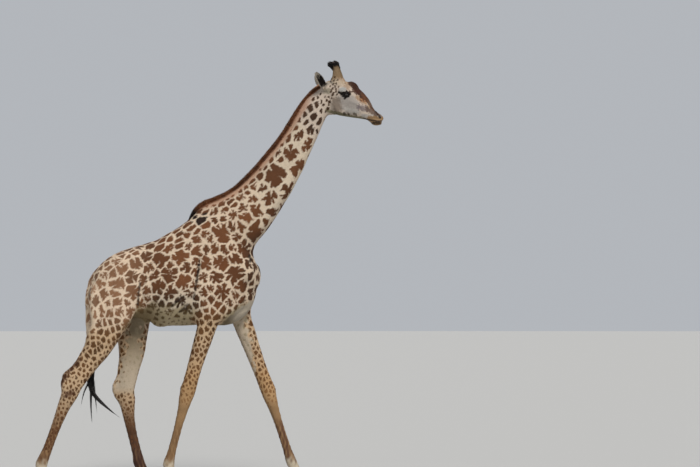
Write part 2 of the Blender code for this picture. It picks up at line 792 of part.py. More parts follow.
def build():
    clear_scene()
    finishes = {
        "coat": material("coat", SKIN_COLOUR, 0.75),
        "mane": material("mane", HAIR_COLOUR, 0.7),
        "tassel": material("tassel", BLACK_HAIR, 0.55),
        "hoof": material("hoof", HORN_COLOUR, 0.5),
        "eye": material("eye", EYE_COLOUR, 0.08),
    }
    nodes = part_flesh(fused_flesh())
    for leg, joints in LEGS.items():
        claws, (coronet, normal) = hooves(leg, joints)
        nodes.update(claws)
        nodes[leg] = cut(nodes[leg], coronet, normal, True)
    for name, side in (("right", RIGHT), ("left", LEFT)):
        ball = eye(side)
        nodes["head"] = without(nodes["head"], grown(ball, RELIEF))
        nodes["eye_" + name] = ball
    skull = grown(nodes["head"], RELIEF)
    crest = [grown(nodes[n], RELIEF) for n in ("head", "neck", "trunk")]
    for name, side in (("right", RIGHT), ("left", LEFT)):
        nodes["horn_" + name] = without(horn(side), skull)
        nodes["ear_" + name] = without(ear(side), skull)
    nodes["mane"] = max(loose_parts(without(mane(), *crest)), key=lambda m: len(m.vertices))
    nodes["tail"] = without(whip("tail", TAIL), crest[2])
    end, before = place(*TAIL[-1][:3]), place(*TAIL[-2][:3])
    nodes["tail"] = cut(nodes["tail"], end, end - before, False)
    nodes["tail_tassel"] = cut(whip("tassel", TASSEL), end, end - before, True)
    size = on_its_feet(list(nodes.values()))
    for name, mesh in nodes.items():
        kind = name.split("_")[0]
        finish = {"mane": "mane", "hoof": "hoof", "eye": "eye"}.get(kind, "coat")
        made = new_object(name, mesh, finishes["tassel" if name == "tail_tassel" else finish])
        made.data.shade_smooth()
    return size


build()
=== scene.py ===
"""Looks of a life-size Masai giraffe bull in mid-stride: skin, coat, mane, tassel, eyes, horns and hooves.

Laid out as a Blender add-on and run as a script. Metres, +Z up; the head looks towards -Y, so the right
side faces -X and the left side +X. Points of the body are written (forward, height, across), where forward
runs towards the nose from a line near the middle of the body.
"""

import math

import bmesh
import bpy
import numpy as np
from mathutils import Matrix, Vector
from mathutils.bvhtree import BVHTree
from mathutils.kdtree import KDTree


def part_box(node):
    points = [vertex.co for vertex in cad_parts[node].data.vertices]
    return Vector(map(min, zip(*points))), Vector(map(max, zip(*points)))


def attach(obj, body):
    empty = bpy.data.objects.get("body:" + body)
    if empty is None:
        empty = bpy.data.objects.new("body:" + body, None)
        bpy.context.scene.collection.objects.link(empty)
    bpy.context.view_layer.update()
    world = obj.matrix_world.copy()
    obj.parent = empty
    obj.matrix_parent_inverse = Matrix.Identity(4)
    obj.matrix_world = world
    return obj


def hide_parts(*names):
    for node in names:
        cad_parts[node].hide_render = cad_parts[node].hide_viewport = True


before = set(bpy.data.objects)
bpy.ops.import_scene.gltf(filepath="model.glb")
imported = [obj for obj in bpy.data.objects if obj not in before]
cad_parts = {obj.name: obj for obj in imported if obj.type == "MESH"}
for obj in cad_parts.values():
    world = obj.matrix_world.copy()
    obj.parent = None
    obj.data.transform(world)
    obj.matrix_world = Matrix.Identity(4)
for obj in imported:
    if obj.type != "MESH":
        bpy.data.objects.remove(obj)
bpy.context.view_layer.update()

bl_info = {
    "name": "Museum giraffe",
    "version": (1, 0, 0),
    "blender": (4, 5, 0),
    "location": "3D View > Sidebar > Giraffe",
    "description": "Dresses a still giraffe with skin, coat, mane, tassel, eyes, horns and hooves",
    "category": "Object",
}

SIDES = {"right": -1, "left": 1}
UV_MAP = "OFBake"
FORELEGS = ("foreleg_right", "foreleg_left")
HINDLEGS = ("hindleg_right", "hindleg_left")
FLESH = ("head", "neck", "trunk", "tail") + FORELEGS + HINDLEGS

# The eye ties the body's own measure to the frame.
EYE_FORWARD = 1.492
EYE_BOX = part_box("eye_left")
EYE_PLACE = (EYE_BOX[0] + EYE_BOX[1]) / 2
EYE_REACH = (EYE_BOX[1].z - EYE_BOX[0].z) / 2
ZERO = EYE_PLACE.y + EYE_FORWARD


def at(forward, height, across=0.0):
    """A point of the body in the frame."""
    return Vector((across, ZERO - forward, height))


def eye_centre(side):
    return np.array((side * abs(EYE_PLACE.x), EYE_PLACE.y, EYE_PLACE.z))


def tone(red, green, blue):
    """A colour given as screen values from 0 to 255, in linear light."""
    made = []
    for value in (red, green, blue):
        share = value / 255
        made.append(share / 12.92 if share <= 0.04045 else ((share + 0.055) / 1.055) ** 2.4)
    return tuple(made)


def length_prop(name, description, default):
    return bpy.props.FloatProperty(
        name=name, description=description, default=default, unit="LENGTH", precision=4
    )


def colour_prop(name, description, default):
    return bpy.props.FloatVectorProperty(
        name=name, description=description, default=default, size=3, min=0.0, max=1.0, subtype="COLOR"
    )


def count_prop(name, description, default):
    return bpy.props.IntProperty(name=name, description=description, default=default, min=0)


class GiraffeSkinSettings(bpy.types.PropertyGroup):
    """Sizes of the skin."""

    body_grain: length_prop("Body grain", "Size of the body's faces before they are halved", 0.0182)
    head_grain: length_prop("Head grain", "Size of the head's faces", 0.0029)
    coat_depth: length_prop("Coat depth", "How far the skin lies under the tips of the coat", 0.004)
    lid_thickness: length_prop("Lid thickness", "How far the eyelids stand over the eyeball", 0.0035)


class GiraffeCoatSettings(bpy.types.PropertyGroup):
    """Markings and hair of the short coat."""

    ground: colour_prop("Ground", "Colour between the patches on the body", tone(210, 190, 166))
    pale: colour_prop("Pale", "Ground colour of the head and the upper neck", tone(200, 184, 168))
    patch: colour_prop("Patch", "Colour of the body's patches", tone(102, 63, 37))
    dark_patch: colour_prop("Dark patch", "Colour of patches on the belly and upper neck", tone(66, 46, 31))
    shin: colour_prop("Shin", "Colour of the plain lower legs", tone(150, 119, 84))
    tuft_length: length_prop("Tuft length", "Length of the coat's tufts on the body", 0.016)
    tuft_width: length_prop("Tuft width", "Width of the coat's tufts on the body", 0.0042)
    tufts: count_prop("Tufts", "Number of tufts in the short coat", 230000)


class GiraffeHairSettings(bpy.types.PropertyGroup):
    """Long hair: mane and tassel."""

    mane: colour_prop("Mane", "Colour of the mane between its roots and its tips", tone(102, 56, 30))
    mane_root: colour_prop("Mane root", "Colour of the mane's roots", tone(204, 154, 120))
    mane_tip: colour_prop("Mane tip", "Colour of the tips of the mane", tone(112, 72, 44))
    tassel: colour_prop("Tassel", "Colour of the tail's tassel", tone(22, 18, 17))
    mane_hairs: count_prop("Mane hairs", "Number of hairs in the mane", 22000)
    tassel_hairs: count_prop("Tassel hairs", "Number of hairs in the tassel", 1250)


class GiraffeHeadSettings(bpy.types.PropertyGroup):
    """Eyes, horns and hooves."""

    iris: colour_prop("Iris", "Colour of the iris", tone(58, 36, 22))
    horn_hair: colour_prop("Horn hair", "Colour of the hair round the horn's knob", tone(24, 20, 19))
    hoof: colour_prop("Hoof", "Colour of the hooves", tone(74, 62, 52))


class GiraffeStageSettings(bpy.types.PropertyGroup):
    """Floor, light and camera."""

    floor: colour_prop("Floor", "Colour of the floor", (0.50, 0.495, 0.48))
    camera_distance: length_prop("Camera distance", "From the camera to the middle plane", 25.0)
    camera_height: length_prop("Camera height", "Height of the camera over the floor", 1.9)


def settings(name):
    return getattr(bpy.context.scene, "giraffe_" + name)


# ---------------------------------------------------------------- numbers


def ramp(value, start, end):
    """0 before start, 1 after end and a smooth rise between them. end may lie below start."""
    share = np.clip((value - start) / (end - start), 0.0, 1.0)
    return share * share * (3 - 2 * share)


def waves(points, size, seed, count=12):
    """A smooth random height for each point, mostly between -1 and 1, with swells about size across."""
    draw = np.random.default_rng(seed)
    ways = draw.normal(size=(count, 3))
    ways /= np.linalg.norm(ways, axis=1)[:, None]
    ways *= 2 * math.pi / (size * draw.uniform(0.7, 1.5, (count, 1)))
    starts = draw.uniform(0, 2 * math.pi, count)
    return np.sin(points @ ways.T + starts).sum(1) / math.sqrt(count)


def mixed(first, second, share):
    """first and second blended row by row."""
    share = np.asarray(share)[:, None]
    return np.asarray(first) * (1 - share) + np.asarray(second) * share


def unit(rows):
    return rows / np.maximum(np.linalg.norm(rows, axis=1), 1e-9)[:, None]


def smooth_rows(rows, steps):
    """Rows of numbers with Catmull-Rom rows between them."""
    rows = np.array(rows, float)
    padded = np.vstack([2 * rows[0] - rows[1], rows, 2 * rows[-1] - rows[-2]])
    made = []
    for i in range(len(rows) - 1):
        a, b, c, d = padded[i : i + 4]
        for k in range(steps):
            t = k / steps
            bend = (2 * a - 5 * b + 4 * c - d) * t**2 + (3 * b - a - 3 * c + d) * t**3
            made.append(0.5 * (2 * b + (c - a) * t + bend))
    made.append(rows[-1])
    return np.array(made)


def near_path(points, path):
    """For each point: its distance from a path, and how far along the path it lies, from 0 to 1."""
    path = np.array([tuple(p) for p in path])
    spans = path[1:] - path[:-1]
    lengths = np.linalg.norm(spans, axis=1)
    before = np.concatenate([[0], np.cumsum(lengths)[:-1]])
    best = np.full(len(points), 1e9)
    along = np.zeros(len(points))
    for start, span, length, base in zip(path, spans, lengths, before):
        share = np.clip(((points - start) @ span) / length**2, 0, 1)
        gap = np.linalg.norm(points - start - share[:, None] * span, axis=1)
        closer = gap < best
        best = np.where(closer, gap, best)
        along = np.where(closer, base + share * length, along)
    return best, along / lengths.sum()


def gap_to(points, path):
    """Distance of each point from a path."""
    return near_path(points, path)[0]


def along_path(path, share):
    """Points at shares from 0 to 1 of a path's length."""
    path = np.asarray(path)
    stops = np.concatenate([[0], np.cumsum(np.linalg.norm(np.diff(path[:, :3], axis=0), axis=1))])
    stops /= stops[-1]
    share = np.clip(share, 0, 1)
    return np.stack([np.interp(share, stops, path[:, k]) for k in range(path.shape[1])], -1)


def laid(way, face):
    """Ways turned into the surface whose normals are given."""
    return unit(way - face * (way * face).sum(1)[:, None])


def filled(colour, count):
    """The colour in count rows."""
    return np.tile(np.array(colour), (count, 1))


# ---------------------------------------------------------------- meshes


def linked(name, data):
    """A new object of the scene."""
    obj = bpy.data.objects.new(name, data)
    bpy.context.scene.collection.objects.link(obj)
    return obj


def mesh_from(work):
    """The mesh that a bmesh holds; the bmesh is let go."""
    mesh = bpy.data.meshes.new("work")
    work.to_mesh(mesh)
    work.free()
    return mesh


def with_modifier(mesh, kind, **values):
    """The mesh as one modifier leaves it."""
    obj = linked("work", mesh)
    modifier = obj.modifiers.new("work", kind)
    for name, value in values.items():
        setattr(modifier, name, value)
    bpy.context.view_layer.update()
    graph = bpy.context.evaluated_depsgraph_get()
    made = bpy.data.meshes.new_from_object(obj.evaluated_get(graph))
    bpy.data.objects.remove(obj)
    return made


def remeshed(mesh, voxel):
    return with_modifier(mesh, "REMESH", mode="VOXEL", voxel_size=voxel)


def read(items, field, width, kind=float):
    """One field of a mesh's vertices, edges or the like, as rows."""
    found = np.empty(len(items) * width, kind)
    items.foreach_get(field, found)
    return found.reshape(-1, width)


def points_of(mesh):
    return read(mesh.vertices, "co", 3)


def normals_of(mesh):
    mesh.update()
    return read(mesh.vertices, "normal", 3)


def ends_of(mesh):
    return read(mesh.edges, "vertices", 2, np.int64)


def set_points(mesh, points):
    mesh.vertices.foreach_set("co", points.ravel())
    mesh.update()


def averaged(values, ends, share, rounds):
    """Values per vertex drawn towards their neighbours' mean, by share, for some rounds."""
    count = len(values)
    near = np.maximum(np.bincount(ends.ravel(), minlength=count), 1)
    flat = values.reshape(count, -1).copy()
    share = np.broadcast_to(share, (count,))
    for _ in range(rounds):
        for axis in range(flat.shape[1]):
            column = flat[:, axis]
            total = np.bincount(ends[:, 0], column[ends[:, 1]], count)
            total += np.bincount(ends[:, 1], column[ends[:, 0]], count)
            flat[:, axis] = column + (total / near - column) * share
    return flat.reshape(values.shape)


def eased(mesh, share, rounds):
    """Smooths a mesh without thinning it: what the smoothing took off is put back as an even swelling."""
    points, ends = points_of(mesh), ends_of(mesh)
    moved = averaged(points, ends, share, rounds)
    set_points(mesh, moved)
    normals = normals_of(mesh)
    lost = ((points - moved) * normals).sum(1)
    lost = averaged(lost, ends, 0.6, rounds)
    set_points(mesh, moved + normals * lost[:, None])


def joined(*meshes):
    work = bmesh.new()
    for mesh in meshes:
        work.from_mesh(mesh)
    return mesh_from(work)


def node_shell(*names):
    """One mesh with the closed shells of these nodes."""
    work = bmesh.new()
    for name in names:
        work.from_mesh(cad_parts[name].data)
    bmesh.ops.remove_doubles(work, verts=work.verts, dist=1e-5)
    return mesh_from(work)


def cut_away(mesh, point, normal, fill=False):
    """A copy of the mesh without what lies ahead of a plane."""
    work = bmesh.new()
    work.from_mesh(mesh)
    geometry = work.verts[:] + work.edges[:] + work.faces[:]
    found = bmesh.ops.bisect_plane(
        work, geom=geometry, plane_co=point, plane_no=normal, clear_outer=True, dist=1e-6
    )
    if fill:
        rim = [e for e in found["geom_cut"] if isinstance(e, bmesh.types.BMEdge) and e.is_boundary]
        bmesh.ops.triangle_fill(work, edges=rim, use_beauty=True)
        bmesh.ops.recalc_face_normals(work, faces=work.faces)
    return mesh_from(work)


def rim_loop(verts, centre, across, up):
    """Boundary vertices near a plane, sorted by their angle round its centre."""

    def angle(vert):
        out = vert.co - centre
        return math.atan2(out.dot(up), out.dot(across))

    return sorted(verts, key=angle), angle


def zipped(rear, front, centre, normal):
    """Rear and front meshes, cut open along the same plane, joined by a band of triangles."""
    work = bmesh.new()
    work.from_mesh(rear)
    count = len(work.verts)
    work.from_mesh(front)
    work.verts.index_update()
    rim = [v for v in work.verts if v.is_boundary and abs((v.co - centre).dot(normal)) < 0.02]
    across = Vector((1, 0, 0))
    up = normal.cross(across)
    first, angle = rim_loop([v for v in rim if v.index < count], centre, across, up)
    second, _ = rim_loop([v for v in rim if v.index >= count], centre, across, up)
    i = j = 0
    while i < len(first) or j < len(second):
        a, b = first[i % len(first)], second[j % len(second)]
        next_a, next_b = first[(i + 1) % len(first)], second[(j + 1) % len(second)]
        at_a = angle(next_a) + (2 * math.pi if i + 1 >= len(first) else 0)
        at_b = angle(next_b) + (2 * math.pi if j + 1 >= len(second) else 0)
        if j >= len(second) or (i < len(first) and at_a <= at_b):
            work.faces.new((a, next_a, b))
            i += 1
        else:
            work.faces.new((a, next_b, b))
            j += 1
    bmesh.ops.recalc_face_normals(work, faces=work.faces)
    return mesh_from(work)


def finer_near(mesh, spots):
    """The mesh with its faces halved within reach of each spot (centre, reach)."""
    points = points_of(mesh)
    chosen = np.zeros(len(points), bool)
    for centre, reach in spots:
        chosen |= np.linalg.norm(points - np.array(centre), axis=1) < reach
    work = bmesh.new()
    work.from_mesh(mesh)
    work.edges.ensure_lookup_table()
    ends = ends_of(mesh)
    picked = chosen[ends[:, 0]] & chosen[ends[:, 1]]
    edges = [work.edges[i] for i in np.flatnonzero(picked)]
    bmesh.ops.subdivide_edges(work, edges=edges, cuts=1, use_grid_fill=True)
    many = [f for f in work.faces if len(f.verts) > 4]
    bmesh.ops.triangulate(work, faces=many)
    return mesh_from(work)


def skin_rings(rings):
    """A closed mesh over rings of equal count, with flat ends."""
    work = bmesh.new()
    rows = [[work.verts.new(p) for p in points] for points in rings]
    count = len(rows[0])
    for first, second in zip(rows, rows[1:]):
        for k in range(count):
            n = (k + 1) % count
            work.faces.new((first[k], first[n], second[n], second[k]))
    work.faces.new(rows[0])
    work.faces.new(rows[-1])
    bmesh.ops.recalc_face_normals(work, faces=work.faces)
    return mesh_from(work)


def keep_piece(name, mesh, finish, nodes=()):
    """Makes the mesh a finished piece that rides on the body."""
    piece = linked(name, mesh)
    mesh.materials.clear()
    mesh.materials.append(finish)
    mesh.shade_smooth()
    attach(piece, "root")
    if nodes:
        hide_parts(*nodes)
    return piece


# ---------------------------------------------------------------- the skin's form

FORE_FROM = -0.62  # the forelegs lie ahead of this line, the hind legs behind it
NECK_SEAM = at(1.105, 4.095)
NECK_WAY = Vector((0, -0.55, 0.835)).normalized()
SEAM_HALF = 0.003

LEG_JOINTS = {  # elbow or stifle, knee or hock, fetlock, coronet
    "foreleg_right": [(-0.01, 1.93), (-0.255, 1.06), (-0.455, 0.270), (-0.435, 0.125)],
    "foreleg_left": [(0.28, 1.965), (0.628, 1.06), (0.893, 0.270), (0.960, 0.125)],
    "hindleg_right": [(-0.98, 1.86), (-1.50, 1.16), (-1.85, 0.265), (-1.835, 0.125)],
    "hindleg_left": [(-0.80, 1.82), (-0.970, 1.07), (-0.780, 0.255), (-0.715, 0.125)],
}

# Relief on both flanks: path of (forward, height), half-width, how far it stands out
RELIEF = [
    ([(-0.02, 2.95), (0.08, 2.7), (0.24, 2.42)], 0.055, 0.01),  # shoulder blade
    ([(0.1, 2.96), (0.27, 2.7), (0.4, 2.48)], 0.05, -0.013),  # front of the shoulder
    ([(0.4, 2.36), (0.41, 2.33)], 0.06, 0.012),  # point of the shoulder
    ([(-0.11, 2.66), (-0.12, 2.48), (-0.145, 2.32), (-0.185, 2.08)], 0.018, -0.018),  # behind the shoulder
    ([(-0.07, 2.58), (-0.08, 2.42), (-0.105, 2.26), (-0.135, 2.12)], 0.03, 0.011),  # lip of that fold
    ([(0.06, 2.38), (-0.03, 2.2), (-0.1, 2.02)], 0.045, -0.01),  # upper arm
    ([(0.24, 2.36), (0.12, 2.16), (0.02, 1.98)], 0.07, 0.01),  # upper arm muscle
    ([(-0.17, 2.16), (-0.21, 2.02), (-0.25, 1.9)], 0.016, -0.01),  # armpit fold
    ([(-0.22, 2.12), (-0.29, 1.99), (-0.34, 1.89)], 0.015, -0.007),  # armpit fold 2
    ([(-0.2, 2.14), (-0.34, 2.03), (-0.52, 1.96)], 0.016, -0.007),  # belly crease
    ([(-0.18, 2.21), (-0.3, 2.11), (-0.5, 2.05)], 0.015, -0.006),  # belly crease 2
    ([(0.28, 2.67), (0.41, 2.61), (0.52, 2.58)], 0.018, -0.006),  # breast fold
    ([(0.26, 2.57), (0.4, 2.51), (0.52, 2.49)], 0.016, -0.004),  # breast fold 2
    ([(0.09, 1.8), (0.26, 2.0), (0.44, 2.15)], 0.03, 0.011),  # front of the foreleg
    ([(0.14, 1.76), (0.31, 1.93), (0.46, 2.04)], 0.032, -0.014),  # under that edge
    ([(-0.79, 2.59), (-0.82, 2.57)], 0.055, 0.017),  # hip point
    ([(-0.66, 2.44), (-0.68, 2.32)], 0.1, -0.02),  # flank hollow
    ([(-0.56, 2.16), (-0.72, 1.98), (-0.84, 1.84)], 0.034, 0.013),  # stifle web
    ([(-0.7, 2.4), (-0.76, 2.2), (-0.74, 2.02)], 0.028, -0.014),  # before the thigh
    ([(-1.0, 2.5), (-1.1, 2.16), (-1.2, 1.84), (-1.28, 1.56)], 0.036, -0.01),  # thigh groove
    ([(-0.92, 2.2), (-1.0, 1.92), (-1.08, 1.66)], 0.04, -0.006),  # thigh groove 2
    ([(-1.22, 2.36), (-1.25, 2.33)], 0.05, 0.014),  # seat bone
    ([(-0.9, 2.64), (-1.06, 2.5), (-1.22, 2.4)], 0.034, -0.008),  # croup groove
    ([(1.19, 4.14), (0.99, 3.78), (0.77, 3.36), (0.52, 2.98), (0.36, 2.74)], 0.036, -0.01),  # windpipe groove
    ([(1.1, 4.22), (0.84, 3.78), (0.58, 3.42), (0.3, 3.1), (0.1, 2.92)], 0.055, 0.007),  # neck muscle
    ([(1.1, 4.3), (0.78, 3.8), (0.42, 3.37), (0.05, 3.08)], 0.03, -0.007),  # crest groove
    ([(1.32, 4.4), (1.3, 4.28), (1.318, 4.185), (1.36, 4.12)], 0.022, -0.011),  # behind the jaw
    ([(1.36, 4.34), (1.362, 4.24), (1.405, 4.165), (1.5, 4.13)], 0.026, 0.006),  # jaw angle
    ([(1.56, 4.33), (1.545, 4.23), (1.52, 4.12)], 0.03, -0.005),  # chewing muscle
    ([(1.5, 4.3), (1.6, 4.262), (1.7, 4.215)], 0.02, 0.005),  # face crest
    ([(1.535, 4.35), (1.59, 4.322), (1.65, 4.285)], 0.02, -0.006),  # before the eye
    ([(1.58, 4.42), (1.68, 4.31), (1.78, 4.2)], 0.022, 0.004),  # nose bone edge
    ([(1.64, 4.29), (1.71, 4.22), (1.79, 4.14)], 0.028, -0.006),  # side of the nose
    ([(1.395, 4.43), (1.36, 4.4)], 0.028, -0.006),  # temple
    ([(1.7, 4.098), (1.685, 4.112)], 0.014, -0.005),  # lip corner
    ([(1.78, 4.1), (1.85, 4.09), (1.9, 4.094)], 0.008, -0.003),  # lip crease
    ([(1.8, 4.2), (1.822, 4.155), (1.85, 4.095)], 0.011, 0.006),  # nostril rim
    ([(1.842, 4.206), (1.868, 4.16), (1.89, 4.108)], 0.011, 0.006),  # nostril wing
]
# Where smoothing thins the outline at the middle plane: path, half-width, how much is put back
FILLED = [
    ([(0.49, 2.5), (0.53, 2.37), (0.52, 2.2)], 0.085, 0.02),
    ([(0.42, 2.72), (0.6, 2.92), (0.8, 3.25), (0.95, 3.55)], 0.08, 0.021),
    ([(-0.06, 3.05), (-0.34, 2.88), (-0.62, 2.75)], 0.08, 0.026),
    ([(-0.3, 2.9), (-0.6, 2.76), (-0.9, 2.64), (-1.18, 2.47), (-1.32, 2.25)], 0.075, 0.017),
    ([(-1.56, 1.34), (-1.65, 1.22), (-1.66, 1.08)], 0.045, 0.012),
    ([(-1.3, 2.3), (-1.32, 2.05), (-1.32, 1.85), (-1.34, 1.7), (-1.4, 1.52)], 0.085, 0.036),
    ([(1.912, 4.11), (1.92, 4.085)], 0.022, 0.009),
]
NOSTRIL = [(1.826, 4.182), (1.838, 4.158), (1.856, 4.130), (1.872, 4.108)]
NOSTRIL_WIDTH, NOSTRIL_DEPTH = 0.0075, 0.016
MOUTH = [(1.918, 4.074), (1.880, 4.068), (1.840, 4.066), (1.780, 4.076), (1.720, 4.092), (1.690, 4.102)]
MOUTH_WIDTH, MOUTH_DEPTH = 0.0050, 0.008
CREST_LIFT, CREST_WIDTH = 0.030, 0.062
CREST_WAY = np.array((0, 0.72, 0.69))
RIBS, RIB_STEP, RIB_LIFT, RIB_WIDTH = 9, 0.082, 0.0035, 0.020

EAR_BASE = (1.268, 4.430, 0.083)
EAR_TIP = (1.152, 4.592, 0.168)
EAR_HALF_WIDTH = 0.057
EAR_WALL = 0.0095
EAR_ROWS = [  # along, width, cup
    (-0.14, 0.52, 1.0), (0.05, 0.6, 1.0), (0.22, 0.86, 0.88), (0.42, 1.0, 0.66), (0.62, 0.98, 0.48),
    (0.8, 0.8, 0.36), (0.92, 0.54, 0.26), (0.985, 0.26, 0.12),
]
EAR_COLUMNS = 18


def ear_axes(side):
    """Base, run towards the tip, way its hollow faces, and way across, for an ear."""
    base = at(EAR_BASE[0], EAR_BASE[1], side * EAR_BASE[2])
    tip = at(EAR_TIP[0], EAR_TIP[1], side * EAR_TIP[2])
    run = tip - base
    length = run.length
    run.normalize()
    hollow = Vector((side * 0.70, -0.72, 0.10))
    hollow = (hollow - run * hollow.dot(run)).normalized()
    return base, run, hollow, run.cross(hollow), length


def ear_mesh(side):
    """A long cupped leaf with a thick root, a rolled rim and low ridges inside."""
    base, run, hollow, wide, length = ear_axes(side)
    rings = []
    for along, width, cup in smooth_rows(EAR_ROWS, 4):
        half = EAR_HALF_WIDTH * width
        front, back = [], []
        for k in range(EAR_COLUMNS + 1):
            t = 2 * k / EAR_COLUMNS - 1
            depth = half * cup * (1 - t * t) * 0.95
            wall = EAR_WALL * (0.62 + 0.38 * (1 - t * t))
            ridge = 0.0018 * math.cos(t * 9) * (1 - t * t) * min(max(along, 0), 0.8)
            spine = base + run * (length * along) + wide * (half * t) - hollow * depth
            front.append(spine + hollow * (wall / 2 + ridge))
            back.append(spine - hollow * (wall / 2))
        rings.append(front + back[::-1])
    return skin_rings(rings)


HORN_BASE = (1.415, 4.500, 0.054)
HORN_TIP = (1.372, 4.735, 0.082)
HORN_ROOT = [  # along, half-depth, half-width, how far back
    (-0.28, 0.08, 0.056, 0.0), (-0.1, 0.092, 0.06, 0.01), (0.04, 0.085, 0.058, 0.015),
    (0.16, 0.0745, 0.054, 0.0155), (0.3, 0.06, 0.048, 0.007), (0.42, 0.051, 0.044, 0.003),
    (0.54, 0.044, 0.0405, 0.002), (0.64, 0.036, 0.033, 0.0),
]
ROOT_COLUMNS = 32


def horn_axis(side):
    """A horn's base and its run to the tip."""
    base = at(HORN_BASE[0], HORN_BASE[1], side * HORN_BASE[2])
    tip = at(HORN_TIP[0], HORN_TIP[1], side * HORN_TIP[2])
    return np.array(base), np.array(tip - base)


def horn_root(side):
    """The mound of skin that a horn grows from."""
    base, run = horn_axis(side)
    way = run / np.linalg.norm(run)
    deep = np.cross(way, (1.0, 0.0, 0.0))
    deep /= np.linalg.norm(deep)
    wide = np.cross(way, deep)
    rings = []
    for along, half_deep, half_wide, back in smooth_rows(HORN_ROOT, 3):
        ring = []
        for k in range(ROOT_COLUMNS):
            turn = 2 * math.pi * k / ROOT_COLUMNS
            reach = deep * (back + half_deep * math.cos(turn)) + wide * half_wide * math.sin(turn)
            ring.append(Vector(base + run * along + reach))
        rings.append(ring)
    return skin_rings(rings)


def body_of(points):
    """Forward, height and across of points of the frame."""
    return ZERO - points[:, 1], points[:, 2], points[:, 0]


def flat(points):
    """The points as (forward, height) rows."""
    forward, height, _ = body_of(points)
    return np.stack([forward, height], 1)


def body_mesh():
    """Neck, trunk, tail and legs in one, without their facets, open towards the head."""
    grain = settings("skin").body_grain
    mesh = remeshed(node_shell(*(n for n in FLESH if n != "head")), grain)
    forward, height, across = body_of(points_of(mesh))
    on_body = ramp(height, 1.55, 2.0)
    up_neck = ramp(forward, 0.55, 1.1)
    tail = ramp(forward, -1.28, -1.31) * ramp(height, 2.36, 2.30) * ramp(np.abs(across), 0.07, 0.05)
    share = 0.14 + 0.50 * on_body * (1 - 0.55 * up_neck)
    share = share * (1 - 0.8 * tail)
    eased(mesh, share, 46)
    mesh = with_modifier(mesh, "SUBSURF", levels=1, render_levels=1)
    return cut_away(mesh, NECK_SEAM - NECK_WAY * SEAM_HALF, NECK_WAY)


HEAD_MARGIN = 0.06  # how far past the seam the head's mesh is built before it is cut
ROUGH_GRAIN = 0.006


def head_mesh():
    """Head and ears in one fine mesh, open towards the neck."""
    whole = node_shell("head", "neck", "eye_right", "eye_left")
    top = cut_away(whole, NECK_SEAM - NECK_WAY * HEAD_MARGIN, -NECK_WAY, fill=True)
    rough = remeshed(top, ROUGH_GRAIN)
    eased(rough, 0.5, 14)
    with_ears = joined(rough, ear_mesh(-1), ear_mesh(1), horn_root(-1), horn_root(1))
    mesh = remeshed(with_ears, settings("skin").head_grain)
    eased(mesh, 0.5, 5)
    return cut_away(mesh, NECK_SEAM + NECK_WAY * SEAM_HALF, -NECK_WAY)


def raised(points, normals, path, width, lift, weight=1.0):
    """Points moved along their normals where they lie near a path seen from the side."""
    gap, along = near_path(flat(points), path)
    amount = lift * np.exp(-((gap / width) ** 2)) * weight
    run = sum(math.dist(a, b) for a, b in zip(path, path[1:]))
    if run > 3 * width:
        amount = amount * ramp(along, -0.02, 0.28) * ramp(along, 1.02, 0.72)
    return points + normals * amount[:, None]


def leg_weight(points, leg):
    """1 on a leg below the body and 0 elsewhere."""
    forward, height, across = body_of(points)
    side = SIDES[leg.split("_")[1]]
    fore = leg.startswith("fore")
    over = forward > -0.60 if fore else forward <= -0.60
    return ramp(height, 1.75, 1.60) * over * (np.sign(across) == side)


def form_legs(points, normals):
    """Tendon grooves down the cannons and behind the forearms."""
    for leg, joints in LEG_JOINTS.items():
        weight = leg_weight(points, leg) * ramp(np.abs(normals[:, 0]), 0.25, 0.75)
        upper, knee, fetlock, _ = joints
        for back, width, lift in ((0.020, 0.010, -0.0045), (0.044, 0.012, 0.003), (-0.026, 0.012, -0.0025)):
            path = [(knee[0] - back, knee[1] - 0.12), (fetlock[0] - back, fetlock[1] + 0.07)]
            points = raised(points, normals, path, width, lift, weight)
        forearm = [(upper[0], upper[1] - 0.20), (knee[0] - 0.015, knee[1] + 0.14)]
        points = raised(points, normals, forearm, 0.020, -0.006, weight)
    return points


BALL = EYE_REACH * 0.95
SLIT_HALF = 0.92
SLIT_UP, SLIT_DOWN = 0.50, -0.46


def lid_axes(side):
    """The eye's centre, and its ways out, forward and up."""
    out = np.array((side * 0.95, -0.30, 0.05))
    out /= np.linalg.norm(out)
    along = np.array((0, -0.97, -0.22))
    along -= out * (along @ out)
    along /= np.linalg.norm(along)
    up = np.cross(out, along) * side
    if up[2] < 0:
        up = -up
    return eye_centre(side), out, along, up


def form_lids(points, side):
    """Opens the lids round an eyeball: skin over the ball, sunk within the slit and rolled at its edge."""
    centre, out, along, up = lid_axes(side)
    gap = points - centre
    reach = np.maximum(np.linalg.norm(gap, axis=1), 1e-6)
    way = gap / reach[:, None]
    u, w = gap @ along / BALL, gap @ up / BALL
    outside = way @ out
    near = (reach < 0.085) & (outside > 0.05)
    bend = np.clip(1 - (u / SLIT_HALF) ** 2, -1.0, 1.0)
    over = w - SLIT_UP * bend - 0.06 * u
    under = SLIT_DOWN * bend - w
    edge = np.maximum(over, under) * BALL
    edge = np.maximum(edge, (np.abs(u) - SLIT_HALF) * BALL)
    roll = settings("skin").lid_thickness * (1 + 0.45 * np.exp(-((edge - 0.003) / 0.0035) ** 2))
    roll -= 0.0022 * np.exp(-((edge - 0.013) / 0.0028) ** 2) * (over > under)
    hood = 0.006 * ramp(edge, 0.0, 0.02) * (over > under)
    on_lid = near * ramp(edge, 0.034, 0.004) * ramp(outside, 0.05, 0.40)
    target = centre + way * (BALL + roll + hood)[:, None]
    points = points + (target - points) * on_lid[:, None]
    sunk = near * ramp(edge, 0.0004, -0.0030)
    target = centre + way * (BALL - 0.006)
    return points + (target - points) * sunk[:, None]


